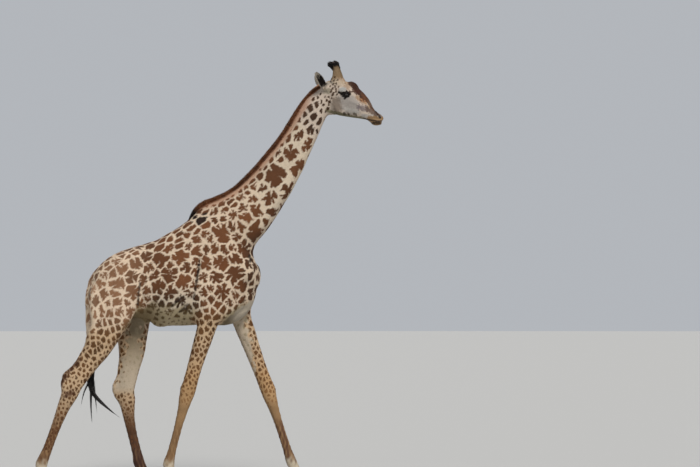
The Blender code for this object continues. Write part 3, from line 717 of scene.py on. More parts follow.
def slid(points):
    """The left hind leg set back a little below its hock."""
    forward, height, across = body_of(points)
    points = points.copy()
    points[:, 1] += 0.022 * ramp(height, 1.05, 0.55) * (across > 0.03) * (forward < -0.45)
    return points


def skin_mesh():
    """The whole skin in one mesh, with folds, lids, nostrils and lips, at the roots of the coat."""
    mesh = zipped(body_mesh(), head_mesh(), NECK_SEAM, NECK_WAY)
    points, ends = points_of(mesh), ends_of(mesh)
    seam = np.abs((points - np.array(NECK_SEAM)) @ np.array(NECK_WAY))
    share = 0.6 * np.exp(-((seam / 0.03) ** 2))
    set_points(mesh, averaged(points, ends, share, 14))
    spots = []
    for side in SIDES.values():
        spots.append((Vector((side * 0.125, EYE_PLACE.y, EYE_PLACE.z)), 0.052))
        spots.append((at(1.848, 4.145, side * 0.050), 0.050))
    mesh = finer_near(mesh, spots)
    points, normals = points_of(mesh), normals_of(mesh)
    depth = settings("skin").coat_depth * (0.35 + 0.65 * ramp(body_of(points)[0], 1.25, 1.0))
    points = points - normals * depth[:, None]
    sideways = ramp(np.abs(normals[:, 0]), 0.15, 0.55)
    for path, width, lift in RELIEF:
        points = raised(points, normals, path, width, lift, sideways)
    for path, width, lift in FILLED:
        points = raised(points, normals, path, width, lift)
    forward, height, across = body_of(points)
    for k in range(RIBS):
        top = (-0.20 - RIB_STEP * k * 0.75, 2.66 - 0.010 * k)
        low = (-0.24 - RIB_STEP * k, 2.02 + 0.012 * k)
        middle = ((top[0] + low[0]) / 2 - 0.03, (top[1] + low[1]) / 2)
        points = raised(points, normals, [top, middle, low], RIB_WIDTH, RIB_LIFT, sideways)
    points = form_legs(points, normals)
    on_head = ramp(forward, 1.2, 1.3)
    swell = waves(points, 0.24, 3) * 0.0030 * (1 - on_head) * ramp(height, 1.5, 1.9)
    swell += waves(points, 0.060, 4) * 0.0004
    points = points + normals * swell[:, None]
    crest = gap_to(points, [at(*row) for row in CREST])
    ridge = CREST_LIFT * np.exp(-((crest / CREST_WIDTH) ** 2))
    ridge = ridge * ramp(forward, -0.24, -0.12) * ramp(forward, 1.20, 1.08)
    points = points + CREST_WAY * ridge[:, None]
    set_points(mesh, points)
    normals = normals_of(mesh)
    front = ramp(np.abs(normals[:, 0]), 0.10, 0.35) * ramp(np.abs(across), 0.038, 0.048)
    points = raised(points, normals, NOSTRIL, NOSTRIL_WIDTH, -NOSTRIL_DEPTH, front)
    lips = ramp(forward, 1.66, 1.72)
    points = raised(points, normals, MOUTH, MOUTH_WIDTH, -MOUTH_DEPTH, lips)
    for side in SIDES.values():
        points = form_lids(points, side)
    set_points(mesh, slid(points))
    return mesh


# ---------------------------------------------------------------- markings

# Patches of the right side: forward, height, spacing to their neighbours
PATCHES = [
    (1.105, 4.215, 0.085), (1.135, 4.11, 0.08), (1.2, 4.06, 0.08), (1.162, 4.25, 0.07),
    (1.13, 4.315, 0.065), (1.24, 4.185, 0.07), (1.03, 4.13, 0.075), (1.055, 4.055, 0.075),
    (1.1, 3.975, 0.11), (1.178, 3.95, 0.08), (0.965, 3.9, 0.125), (0.94, 3.985, 0.075),
    (0.862, 3.87, 0.1), (1.07, 3.8, 0.165), (0.885, 3.705, 0.185), (0.98, 3.57, 0.18),
    (0.74, 3.705, 0.095), (0.78, 3.635, 0.09), (0.705, 3.46, 0.21), (0.55, 3.46, 0.09),
    (0.6, 3.54, 0.07), (0.85, 3.28, 0.185), (0.655, 3.215, 0.165), (0.57, 3.31, 0.12),
    (0.475, 3.335, 0.1), (0.39, 3.32, 0.08), (0.46, 3.2, 0.105), (0.34, 3.22, 0.105),
    (0.24, 3.235, 0.07), (0.21, 3.17, 0.08), (0.12, 3.145, 0.09), (0.27, 3.13, 0.08),
    (0.36, 3.085, 0.13), (0.49, 3.07, 0.15), (0.7, 3.05, 0.15), (0.14, 3.07, 0.095),
    (0.04, 3.05, 0.095), (-0.06, 3.045, 0.075), (-0.1, 2.965, 0.085), (-0.182, 2.992, 0.06),
    (0.25, 3.02, 0.105), (0.04, 2.965, 0.095),
    (0.13, 2.975, 0.08), (0.235, 2.88, 0.12), (0.34, 2.895, 0.13), (0.12, 2.82, 0.19),
    (0.285, 2.77, 0.105), (0.505, 2.84, 0.21), (0.62, 2.93, 0.13), (-0.05, 2.9, 0.09),
    (-0.075, 2.8, 0.105), (-0.14, 2.745, 0.105), (0.0, 2.75, 0.095), (-0.05, 2.64, 0.09),
    (0.05, 2.645, 0.11), (0.15, 2.63, 0.11), (0.245, 2.655, 0.105), (0.365, 2.65, 0.17),
    (0.275, 2.53, 0.14), (0.11, 2.475, 0.17), (-0.04, 2.46, 0.13), (0.27, 2.36, 0.18),
    (0.42, 2.465, 0.095), (0.06, 2.325, 0.15), (-0.07, 2.33, 0.115), (0.35, 2.23, 0.15),
    (0.44, 2.335, 0.09), (0.52, 2.33, 0.11), (0.13, 2.165, 0.155), (-0.07, 2.16, 0.11),
    (0.28, 2.12, 0.12), (0.215, 2.05, 0.095), (0.015, 2.08, 0.09), (-0.075, 2.04, 0.095),
    (0.08, 2.02, 0.085), (0.14, 1.97, 0.085), (0.44, 2.15, 0.13), (0.02, 1.95, 0.075),
    (-0.155, 2.63, 0.13), (-0.235, 2.665, 0.095), (-0.32, 2.545, 0.165), (-0.265, 2.44, 0.125),
    (-0.16, 2.5, 0.105), (-0.16, 2.4, 0.095), (-0.35, 2.68, 0.085), (-0.35, 2.735, 0.075),
    (-0.365, 2.79, 0.075), (-0.44, 2.755, 0.075), (-0.46, 2.65, 0.1), (-0.56, 2.655, 0.09),
    (-0.555, 2.515, 0.17), (-0.43, 2.46, 0.105), (-0.44, 2.36, 0.175), (-0.295, 2.27, 0.155),
    (-0.17, 2.23, 0.12), (-0.61, 2.345, 0.115), (-0.56, 2.225, 0.16), (-0.44, 2.15, 0.145),
    (-0.69, 2.18, 0.105), (-0.74, 2.29, 0.095), (-0.6, 2.085, 0.085), (-0.68, 2.09, 0.095),
    (-0.53, 2.03, 0.085), (-0.32, 2.065, 0.13), (-0.265, 1.975, 0.12), (-0.44, 1.95, 0.1),
    (-0.82, 2.47, 0.125), (-0.96, 2.42, 0.12), (-0.86, 2.34, 0.145), (-1.01, 2.25, 0.16),
    (-0.855, 2.17, 0.15), (-1.215, 2.26, 0.115), (-1.255, 2.35, 0.09), (-1.04, 2.145, 0.12),
    (-1.02, 2.05, 0.125), (-0.91, 2.05, 0.095), (-0.87, 1.95, 0.12), (-0.99, 1.96, 0.12),
    (-1.12, 2.035, 0.105), (-1.17, 2.13, 0.11), (-1.25, 2.08, 0.105), (-1.1, 1.95, 0.1),
    (-1.2, 1.96, 0.095), (-0.95, 1.88, 0.105), (-1.1, 1.87, 0.1), (-0.93, 1.805, 0.105),
]

# The pattern round some places, and between them by nearness: forward, height, spacing, line width,
# stretch, and the way of the stretch
REGIONS = [
    (-1.2, 2.5, 0.08, 0.019, 1.25, -0.8, -0.6),
    (-1.15, 2.25, 0.11, 0.021, 1.0, 0.0, 1.0),
    (-1.25, 2.0, 0.095, 0.021, 1.3, 0.0, 1.0),
    (-0.95, 2.05, 0.115, 0.021, 1.0, 0.0, 1.0),
    (-1.15, 1.75, 0.078, 0.019, 1.1, -0.3, 1.0),
    (-0.95, 1.7, 0.082, 0.018, 1.0, 0.0, 1.0),
    (-0.9, 2.58, 0.075, 0.016, 1.4, 1.0, 0.4),
    (-0.5, 2.75, 0.072, 0.015, 1.7, 0.9, 0.45),
    (-0.2, 2.88, 0.078, 0.015, 1.5, 0.8, 0.6),
    (-0.55, 2.52, 0.14, 0.017, 1.0, 0.0, 1.0),
    (-0.35, 2.35, 0.15, 0.019, 1.0, 0.0, 1.0),
    (-0.65, 2.15, 0.1, 0.018, 1.1, 0.0, 1.0),
    (-0.35, 2.0, 0.095, 0.021, 1.2, 0.8, 0.6),
    (-0.4, 1.84, 0.062, 0.019, 1.0, 0.0, 1.0),
    (0.1, 2.6, 0.13, 0.019, 1.0, 0.0, 1.0),
    (0.15, 2.3, 0.145, 0.023, 1.0, 0.0, 1.0),
    (0.05, 2.05, 0.085, 0.02, 1.0, 0.0, 1.0),
    (0.48, 2.35, 0.115, 0.024, 1.3, 0.0, 1.0),
    (0.2, 2.95, 0.11, 0.021, 1.0, 0.0, 1.0),
    (0.5, 2.9, 0.17, 0.03, 1.0, 0.6, 0.8),
    (0.35, 3.15, 0.11, 0.024, 1.0, 0.6, 0.8),
    (0.65, 3.15, 0.17, 0.036, 1.1, 0.6, 0.8),
    (0.6, 3.48, 0.12, 0.028, 1.2, 0.6, 0.8),
    (0.85, 3.45, 0.18, 0.042, 1.3, 0.6, 0.8),
    (0.8, 3.78, 0.1, 0.028, 1.3, 0.6, 0.8),
    (1.0, 3.75, 0.15, 0.042, 1.3, 0.6, 0.8),
    (1.0, 4.05, 0.085, 0.026, 1.4, 0.4, 0.9),
    (1.12, 4.05, 0.088, 0.029, 1.4, 0.3, 0.95),
    (1.2, 4.28, 0.06, 0.024, 1.4, 0.2, 1.0),
]
# Down the legs: height, spacing, line width (the spots of the hind legs are a little larger)
LEG_REGIONS = [
    (2.0, 0.074, 0.018), (1.75, 0.058, 0.016), (1.5, 0.047, 0.015), (1.25, 0.041, 0.015),
    (1.0, 0.035, 0.015), (0.75, 0.031, 0.012), (0.5, 0.029, 0.008), (0.0, 0.029, 0.008),
]
# The line of the neck's crest, from the head to the withers
CREST = [
    (1.22, 4.445), (1.14, 4.385), (0.992, 4.19), (0.802, 3.887), (0.612, 3.646), (0.43, 3.442),
    (0.25, 3.275), (0.045, 3.17), (-0.085, 3.11), (-0.2, 2.99),
]


LEG_ACROSS = 0.195  # from the middle plane to a leg's middle line


def leg_line(leg):
    """The middle line of a leg, from above its joint with the body to the ground."""
    side = SIDES[leg.split("_")[1]]
    upper, knee, fetlock, coronet = LEG_JOINTS[leg]
    top = (upper[0], upper[1] + 0.25)
    rows = (top, upper, knee, fetlock, coronet, (coronet[0], 0.0))
    return [(forward, height, side * LEG_ACROSS) for forward, height in rows]


def on_leg(points):
    """1 where a point belongs to a leg, below its joint with the body."""
    _, height, _ = body_of(points)
    found = ramp(height, 1.70, 1.64)
    for leg in FORELEGS + HINDLEGS:
        fore = leg in FORELEGS
        gap = gap_to(points, [at(*row) for row in leg_line(leg)])
        near = ramp(gap, 0.21, 0.15) if fore else ramp(gap, 0.27, 0.21)
        low = ramp(height, 2.02, 1.82) if fore else ramp(height, 1.86, 1.66)
        found = np.maximum(found, near * low)
    return found


def pattern_scale(points):
    """Spacing, line width, stretch and its way (rows), for each point."""
    forward, height, _ = body_of(points)
    pins = np.array(REGIONS)
    side = flat(points)
    weight = 1 / (((side[:, None] - pins[None, :, :2]) ** 2).sum(2) + 0.004) ** 2
    weight /= weight.sum(1)[:, None]
    values = weight @ pins[:, 2:]
    spacing, line, stretch = values[:, 0], values[:, 1], values[:, 2]
    way = np.zeros_like(points)
    way[:, 1], way[:, 2] = -values[:, 3], values[:, 4]
    leg = on_leg(points)
    rows = np.array(LEG_REGIONS)[::-1]
    hind = 1 + 0.06 * (forward < -0.5)
    leg_spacing = np.interp(height, rows[:, 0], rows[:, 1]) * hind
    leg_gap = np.interp(height, rows[:, 0], rows[:, 2])
    spacing = spacing * (1 - leg) + leg_spacing * leg
    line = line * (1 - leg) + leg_gap * leg
    stretch = stretch * (1 - leg) + 1.25 * leg
    way = way * (1 - leg)[:, None] + np.array((0, 0, 1.0)) * leg[:, None]
    crest = gap_to(side, CREST)
    by_mane = np.exp(-((crest / 0.085) ** 2)) * ramp(forward, -0.2, 0.1)
    spacing = spacing * (1 - 0.45 * by_mane)
    line = line * (1 - 0.30 * by_mane)
    return spacing, line, stretch, unit(way)


def squeezed(gap, way, stretch):
    """Gaps shortened along the way of the stretch."""
    along = (gap * way).sum(-1)
    return gap - way * (along * (1 - 1 / stretch))[..., None]


SEED_TRIES = 70000
SEED_GAP = 0.80  # the least distance from a patch's centre to the next, as a share of its spacing


def patch_seeds(points, normals):
    """Centres of the patches: those listed, then others strewn at the local spacing."""
    forward, height, _ = body_of(points)
    draw = np.random.default_rng(11)
    near_side = np.flatnonzero((normals[:, 0] < -0.15) & (on_leg(points) < 0.9))
    seeds, sizes = [], []
    for place in PATCHES:
        gap = (forward[near_side] - place[0]) ** 2 + (height[near_side] - place[1]) ** 2
        seeds.append(near_side[gap.argmin()])
        sizes.append(place[2])
    body = np.flatnonzero(height > 0.30)
    chosen = draw.permutation(body)[:SEED_TRIES]
    spots, faces = points[chosen], normals[chosen]
    spacing, _, stretch, way = pattern_scale(spots)
    alive = np.ones(len(chosen), bool)

    def strike(spot, face, size, k):
        gap = squeezed(spots - spot, way[k], stretch[k])
        apart = (gap**2).sum(1) + (0.30 * size * (1 - faces @ face)) ** 2
        alive[apart < (SEED_GAP * size) ** 2] = False

    for seed, size in zip(seeds, sizes):
        nearest = ((spots - points[seed]) ** 2).sum(1).argmin()
        strike(points[seed], normals[seed], size, nearest)
    for k in range(len(chosen)):
        if alive[k]:
            seeds.append(chosen[k])
            sizes.append(spacing[k] * draw.uniform(0.82, 1.22))
            strike(spots[k], faces[k], sizes[-1], k)
    return np.array(seeds), np.array(sizes)


def nearest_few(points, seeds, count):
    """Indexes of the count seeds nearest to each point."""
    tree = KDTree(len(seeds))
    for k, seed in enumerate(seeds):
        tree.insert(seed, k)
    tree.balance()
    found = np.empty((len(points), count), np.int32)
    for k, point in enumerate(points):
        found[k] = [hit[1] for hit in tree.find_n(point, count)]
    return found


SLITS = 6
SMALL_PATCH = 0.095  # patches below this spacing have shorter slits


def slit_plan(sizes):
    """For each patch, the ways its slits point and how far out they begin; and the patch's tone."""
    draw = np.random.default_rng(12)
    shape = (len(sizes), SLITS)
    turns = draw.uniform(-0.32, 0.32, shape) + np.arange(SLITS) * 2 * math.pi / SLITS
    turns += draw.uniform(0, 2 * math.pi, (len(sizes), 1))
    starts = draw.uniform(0.02, 0.29, shape)
    starts[draw.random(shape) < 0.18] = 2.0
    starts[sizes < SMALL_PATCH] += 0.28
    return turns, starts, draw.normal(0, 1, len(sizes))


def slitted(field, u, v, half, size, turns, starts):
    """The depth within the patches, less where slits run in from their edges; u and v from the middle."""
    radius = np.hypot(u, v)
    angle = np.arctan2(v, u)
    share = radius / size
    for k in range(SLITS):
        turn = angle - turns[:, k]
        turn = np.abs((turn + math.pi) % (2 * math.pi) - math.pi)
        begin = starts[:, k]
        opening = half * 1.30 * (share - begin) / (0.50 - np.minimum(begin, 0.4))
        slit = radius * np.minimum(turn, 1.5) - opening
        field = np.minimum(field, np.where(share > begin * 0.6, slit, field))
    return field


NEAR_SEEDS = 7  # how many patches round a point are weighed


def patch_field(points, normals):
    """How deep each point lies within its patch (negative between patches), and the tone of its patch."""
    seeds, sizes = patch_seeds(points, normals)
    spacing, line, stretch, way = pattern_scale(points)
    warp = np.stack([waves(points, 0.075, s) for s in (21, 22, 23)], 1) * 0.055
    fine = np.stack([waves(points, 0.028, s) for s in (24, 25, 26)], 1) * 0.028
    warp = (warp + fine) * spacing[:, None]
    moved = points + warp - normals * (warp * normals).sum(1)[:, None]
    centres = points[seeds]
    few = nearest_few(moved, centres, NEAR_SEEDS)
    gap = squeezed(moved[:, None] - centres[few], way[seeds][few], stretch[seeds][few])
    size = sizes[few] / spacing[:, None]
    facing = (normals[:, None] * normals[seeds][few]).sum(2)
    apart = np.sqrt((gap**2).sum(2) + (0.35 * spacing[:, None] * (1 - facing)) ** 2)
    order = np.argsort(apart / size, axis=1)
    rows = np.arange(len(points))
    one, two = order[:, 0], order[:, 1]
    first, second = apart[rows, one], apart[rows, two]
    ratio = size[rows, one] / (size[rows, one] + size[rows, two])
    between = np.linalg.norm(centres[few[rows, one]] - centres[few[rows, two]], axis=1)
    reach = (first + second) * ratio
    deep = (reach - first) * np.clip((first + second) / np.maximum(between, 1e-6), 1, 1.6) * 0.8
    own = few[rows, one]
    half = line * (0.40 + 0.10 * waves(points, 0.11, 31))
    across = np.cross(normals[seeds], way[seeds])
    flow = np.cross(across, normals[seeds])
    across, flow = unit(across), unit(flow)
    own_gap = gap[rows, one]
    u, v = (own_gap * flow[own]).sum(1), (own_gap * across[own]).sum(1)
    turns, starts, tones = slit_plan(sizes)
    return slitted(deep - half, u, v, half, sizes[own], turns[own], starts[own]), tones[own]


# The face, on both sides: path (forward, height), half-width, softness, colour, strength
FACE = [
    ([(1.46, 4.27), (1.56, 4.24)], 0.085, 0.04, (162, 155, 149), 0.9),
    ([(1.385, 4.29), (1.4, 4.19)], 0.04, 0.025, (128, 113, 99), 0.85),
    ([(1.52, 4.475), (1.4, 4.5), (1.33, 4.52)], 0.03, 0.03, (196, 176, 148), 0.6),
    ([(1.7, 4.3), (1.65, 4.33)], 0.04, 0.02, (166, 130, 98), 0.85),
    ([(1.555, 4.5), (1.52, 4.455), (1.5, 4.438)], 0.032, 0.024, (152, 122, 98), 0.6),
    ([(1.43, 4.56), (1.51, 4.515)], 0.03, 0.026, (166, 128, 94), 0.5),
    ([(1.5, 4.195), (1.62, 4.168)], 0.02, 0.016, (188, 182, 174), 0.8),
    ([(1.64, 4.215), (1.72, 4.2)], 0.026, 0.02, (118, 106, 107), 0.8),
    ([(1.745, 4.205), (1.825, 4.145)], 0.032, 0.018, (100, 80, 70), 0.9),
    ([(1.68, 4.13), (1.78, 4.118)], 0.016, 0.012, (186, 179, 172), 0.9),
    ([(1.86, 4.18), (1.9, 4.145), (1.93, 4.11)], 0.028, 0.016, (104, 80, 64), 0.9),
    ([(1.75, 4.102), (1.85, 4.094), (1.925, 4.089)], 0.021, 0.01, (146, 114, 76), 0.9),
    ([(1.755, 4.06), (1.84, 4.045), (1.9, 4.05)], 0.024, 0.01, (134, 104, 68), 0.95),
    # Dark lower lip, with painted shadow under the mouth
    ([(1.8, 4.05), (1.865, 4.052)], 0.012, 0.012, (52, 38, 24), 0.9),
    ([(1.905, 4.05), (1.92, 4.062)], 0.012, 0.01, (150, 118, 80), 0.8),
    # Painted shade and greenish reflected light along the lower edge of the jaw
    ([(1.28, 4.185), (1.4, 4.15), (1.54, 4.122), (1.68, 4.095)], 0.013, 0.01, (112, 106, 76), 0.85),
    ([(1.477, 4.152), (1.48, 4.146)], 0.011, 0.007, (56, 46, 30), 0.8),
    ([(1.52, 4.15), (1.526, 4.142)], 0.013, 0.007, (62, 50, 32), 0.8),
    ([(1.582, 4.146), (1.604, 4.138)], 0.012, 0.008, (72, 62, 42), 0.75),
    ([(1.588, 4.475), (1.59, 4.41)], 0.026, 0.014, (82, 50, 36), 0.9),
    ([(1.565, 4.505), (1.615, 4.455), (1.655, 4.4), (1.69, 4.335)], 0.048, 0.014, (58, 33, 22), 0.95),
    ([(1.69, 4.37), (1.725, 4.315), (1.8, 4.225), (1.85, 4.17)], 0.03, 0.012, (88, 60, 43), 0.9),
    ([(1.64, 4.4), (1.61, 4.385)], 0.022, 0.01, (70, 36, 26), 0.8),
    ([(1.25, 4.4), (1.31, 4.4)], 0.026, 0.016, (132, 126, 106), 0.7),
    ([(1.444, 4.41), (1.47, 4.41)], 0.023, 0.014, (174, 175, 172), 0.85),
    ([(1.412, 4.381), (1.45, 4.368)], 0.01, 0.006, (26, 19, 17), 1.0),
    ([(1.45, 4.364), (1.53, 4.364)], 0.021, 0.006, (24, 18, 16), 1.0),
    ([(1.462, 4.35), (1.512, 4.348)], 0.019, 0.006, (24, 18, 16), 1.0),
    ([(1.484, 4.332), (1.482, 4.31)], 0.01, 0.006, (34, 24, 20), 1.0),
    ([(1.5, 4.385), (1.53, 4.376)], 0.012, 0.006, (24, 18, 16), 1.0),
    ([(1.53, 4.38), (1.575, 4.396)], 0.009, 0.01, (70, 44, 33), 0.85),
    ([(1.632, 4.345), (1.645, 4.29)], 0.006, 0.007, (190, 168, 142), 0.8),
    ([(1.663, 4.308), (1.678, 4.28)], 0.008, 0.006, (176, 134, 98), 0.8),
    ([(1.648, 4.3), (1.66, 4.285)], 0.006, 0.004, (104, 80, 58), 0.8),
    ([(1.7, 4.292), (1.726, 4.254)], 0.006, 0.006, (182, 144, 108), 0.8),
    ([(1.742, 4.24), (1.754, 4.212)], 0.005, 0.006, (184, 156, 124), 0.8),
]
# Small dark spots of the head: forward, height, half-width
FACE_SPOTS = [
    (1.325, 4.385, 0.013), (1.352, 4.368, 0.015), (1.378, 4.385, 0.011), (1.345, 4.345, 0.012),
    (1.395, 4.352, 0.01), (1.278, 4.289, 0.013), (1.311, 4.272, 0.017), (1.29, 4.2, 0.017),
    (1.3, 4.325, 0.01), (1.33, 4.31, 0.008), (1.258, 4.33, 0.009), (1.345, 4.42, 0.012),
    (1.318, 4.445, 0.011), (1.372, 4.44, 0.012), (1.35, 4.47, 0.011), (1.385, 4.475, 0.009),
    (1.318, 4.49, 0.014), (1.355, 4.505, 0.01), (1.395, 4.515, 0.008), (1.33, 4.528, 0.011),
    (1.38, 4.41, 0.01), (1.41, 4.44, 0.008), (1.29, 4.47, 0.009), (1.24, 4.24, 0.013),
    (1.268, 4.165, 0.011), (1.325, 4.4, 0.009), (1.3, 4.24, 0.01), (1.365, 4.545, 0.009),
]

# Where patches are nearly black, behind the mane, and where the hocks are darker
WITHERS_MARK = [(-0.185, 2.975), (-0.125, 2.950), (-0.060, 3.000)]
HOCK_MARKS = [
    [(-1.44, 1.43), (-1.53, 1.32), (-1.6, 1.23), (-1.64, 1.17)],
    [(-1.5, 1.06), (-1.58, 1.04)],
]
# Painted shade: dark streaks in the folds and creases, some of them low on the flank: path, half-width,
# strength
FOLD_SHADE = [
    ([(-0.122, 2.56), (-0.122, 2.46)], 0.004, 0.8),
    ([(-0.122, 2.47), (-0.128, 2.4), (-0.15, 2.29)], 0.011, 0.95),
    ([(-0.15, 2.29), (-0.164, 2.19), (-0.182, 2.1)], 0.007, 0.9),
    ([(0.425, 2.57), (0.434, 2.5)], 0.01, 0.9),
    ([(-0.772, 2.26), (-0.784, 2.15), (-0.795, 2.02)], 0.009, 0.8),
    ([(-0.42, 2.01), (-0.35, 2.07), (-0.285, 2.122)], 0.009, 0.7),
    ([(-0.34, 1.95), (-0.25, 2.03)], 0.008, 0.65),
    ([(-0.295, 2.045), (-0.24, 1.945)], 0.006, 0.6),
    ([(-1.325, 2.21), (-1.338, 2.1)], 0.007, 0.8),
]


def painted(colour, share, value):
    """Colour rows drawn towards a screen colour by share."""
    return mixed(colour, np.array([tone(*value)]), share)


def base_colours(points, normals, patch_tone):
    """Ground and patch colours before the face is painted."""
    coat = settings("coat")
    forward, height, _ = body_of(points)
    side = flat(points)
    ground, patch = filled(coat.ground, len(points)), filled(coat.patch, len(points))
    dark = np.array([coat.dark_patch])
    neck = ramp(forward, 0.35, 0.75)
    rump = ramp(forward, -0.55, -1.0) * ramp(height, 1.5, 1.9)
    ground = painted(ground, neck, (207, 191, 169))
    ground = painted(ground, rump, (218, 196, 171))
    patch = painted(patch, neck * 0.8, (96, 60, 36))
    patch = painted(patch, rump * 0.85, (133, 98, 72))
    upper = ramp(forward + 0.8 * (height - 4.0), 0.92, 1.12)
    ground = mixed(ground, np.array([coat.pale]), upper)
    patch = mixed(patch, dark, upper * 0.95)
    low = ramp(height, 2.30, 2.02) * ramp(height, 1.6, 1.8)
    low = low * ramp(forward, -0.75, -0.55) * ramp(forward, 0.0, -0.2)
    patch = mixed(patch, dark, low)
    breast = ramp(forward, 0.30, 0.42) * ramp(height, 2.9, 2.7) * ramp(height, 1.9, 2.1)
    patch = mixed(patch, dark, breast * 0.6)
    # Painted shade: the downward-facing underside is painted a darker olive, darkest towards the groin
    under = ramp(-normals[:, 2], 0.15, 0.65) * ramp(height, 2.15, 1.98) * ramp(height, 1.68, 1.78)
    under = under * ramp(forward, -1.05, -0.95) * ramp(forward, 0.5, 0.35)
    ground = painted(ground, low * 0.7, (196, 184, 166))
    ground = painted(ground, under, (178, 162, 130))
    ground = painted(ground, under * ramp(forward, -0.45, -0.75), (132, 114, 82))
    withers = gap_to(side, WITHERS_MARK)
    patch = painted(patch, ramp(withers, 0.060, 0.035) * 0.9, (30, 23, 20))
    # Painted light: the back of the thighs lightened as by a rim light, on ground and patches
    rear = ramp(forward, -1.20, -1.29) * ramp(height, 1.60, 1.75) * ramp(height, 2.36, 2.22)
    ground = painted(ground, rear * 0.8, (234, 212, 186))
    patch = painted(patch, rear * 0.5, (176, 138, 108))
    # Painted shade on the patches of the underside
    patch = painted(patch, under, (98, 78, 50))
    crest = gap_to(side, CREST)
    band = np.exp(-((crest / 0.044) ** 4)) * ramp(forward, -0.18, 0.05) * ramp(forward, 1.18, 1.02)
    ground = painted(ground, band * 0.70, (176, 128, 100))
    patch = painted(patch, band * 0.65, (140, 92, 66))
    ground, patch = leg_colours(points, ground, patch)
    patch = patch * (1 + 0.13 * patch_tone)[:, None]
    return np.clip(ground, 0, 1), np.clip(patch, 0, 1)


def leg_colours(points, ground, patch):
    """The colours with the legs painted: darker hocks and shins, pale feet."""
    forward, height, across = body_of(points)
    leg = on_leg(points)
    fore = forward > FORE_FROM
    ground = painted(ground, leg, (194, 166, 133))
    patch = painted(patch, leg, (98, 66, 37))
    knee = ramp(height, 1.60, 1.15) * fore
    ground = painted(ground, knee * 0.9, (174, 138, 96))
    patch = painted(patch, knee * 0.6, (112, 76, 44))
    patch = painted(patch, ramp(height, 1.16, 0.94) * fore * 0.75, (148, 112, 72))
    ragged = 0.016 * waves(points, 0.035, 43)
    for hock in HOCK_MARKS:
        share = ramp(gap_to(flat(points), hock) + ragged, 0.042, 0.014) * 0.85
        ground = painted(ground, share, (84, 50, 31))
        patch = painted(patch, share, (66, 38, 24))
    shin = np.where(fore, ramp(height, 1.02, 0.86), ramp(height, 1.00, 0.60))
    ground = mixed(ground, np.array([settings("coat").shin]), shin)
    streak = waves(points * np.array((1, 1, 0.30)), 0.026, 41)
    dark = np.where(fore, ramp(height, 0.80, 0.60) * 0.60, ramp(height, 1.14, 0.58) * 0.9)
    ground = painted(ground, dark * np.clip(0.62 + 0.30 * streak, 0, 1), (92, 60, 40))
    far_hind = (across > 0) & ~fore
    far_dark = ramp(height + 0.05 * streak, 0.98, 0.52) * far_hind
    ground = painted(ground, far_dark * np.clip(0.82 + 0.20 * streak, 0, 1), (62, 39, 31))
    far_fore = ramp(height + 0.06 * streak, 0.86, 0.70) * ((across > 0) & fore)
    ground = painted(ground, far_fore * np.clip(0.45 + 0.5 * streak, 0, 1), (88, 58, 44))
    patch = painted(patch, shin * 0.7, (84, 52, 33))
    foot = ramp(height + 0.20 * far_hind + 0.02 * waves(points, 0.05, 42), 0.36, 0.22)
    ground = painted(ground, foot * 0.92, (196, 184, 162))
    return ground, painted(patch, foot, (150, 130, 106))


# The lower edge of the shoulder, and the line of the throat: (forward, height)
SHOULDER_EDGE = [(0.05, 1.745), (0.26, 1.945), (0.46, 2.085), (0.60, 2.11)]
THROAT = [(1.30, 4.17), (1.22, 4.02), (1.12, 3.82), (0.98, 3.47), (0.84, 3.22)]
# The pale band inside a leg: height, its back and front edges as shares of the leg's half-width
FORE_BAND = [
    (1.1, -2.0, -1.2), (1.3, -2.0, -0.55), (1.42, -2.0, -0.45), (1.5, -2.0, 0.0), (1.7, -2.0, 0.35),
    (1.9, -2.0, 0.55), (2.1, -2.0, 0.9),
]
HIND_BAND = [
    (1.0, -1.4, 1.4), (1.12, -0.9, 1.3), (1.22, -0.75, 1.3), (1.4, -0.65, 1.1), (1.54, -0.6, 0.5),
    (1.7, -0.7, 0.35), (1.85, -0.88, 0.3),
]


def inside_leg(points, normals):
    """1 on the pale inner faces of the legs."""
    forward, height, across = body_of(points)
    inward = ramp(-normals[:, 0] * np.sign(across), 0.25, 0.55) * (np.abs(across) < 0.32)
    ragged = 0.22 * waves(points, 0.07, 63) + 0.10 * waves(points, 0.025, 64)
    found = np.zeros(len(points))
    for leg in FORELEGS + HINDLEGS:
        fore = leg in FORELEGS
        half, rows = (0.10, FORE_BAND) if fore else (0.14, HIND_BAND)
        line = np.array(leg_line(leg))[::-1]
        lean = (forward - np.interp(height, line[:, 1], line[:, 0])) / half + ragged
        rows = np.array(rows)
        back, front = (np.interp(height, rows[:, 0], rows[:, k]) for k in (1, 2))
        band = ramp(lean, back - 0.12, back + 0.12) * ramp(lean, front + 0.12, front - 0.12)
        ends = ramp(height, rows[0, 0], rows[0, 0] + 0.12) * ramp(height, 2.30, 2.10)
        own = (np.sign(across) == SIDES[leg.split("_")[1]]) & ((forward > -0.45) == fore)
        found = np.maximum(found, band * ends * own)
    return found * inward


def ear_share(points, normals):
    """Where the ears are, and where on them their hollows and their rims are, each from 0 to 1."""
    found = np.zeros(len(points))
    inside = np.zeros(len(points))
    rim = np.zeros(len(points))
    for side in SIDES.values():
        base, run, hollow, wide, length = ear_axes(side)
        gap = points - np.array(base)
        along = gap @ np.array(run) / length
        out = gap @ np.array(wide) / EAR_HALF_WIDTH
        deep = np.abs(gap @ np.array(hollow))
        here = ramp(along, -0.02, 0.12) * (np.abs(out) < 1.3) * (deep < 0.075) * (along < 1.2)
        here = here * (points[:, 0] * side > 0.05)
        faces = ramp(normals @ np.array(hollow), -0.05, 0.35)
        found = np.maximum(found, here)
        ahead = np.abs(out * -side - 0.36)
        core = ramp(ahead, 0.68, 0.52) * ramp(along, 0.82, 0.72) * ramp(along, 0.02, 0.14)
        inside = np.maximum(inside, here * faces * core)
        rim = np.maximum(rim, here * ramp(np.abs(out), 0.70, 0.95))
    return found, inside, rim


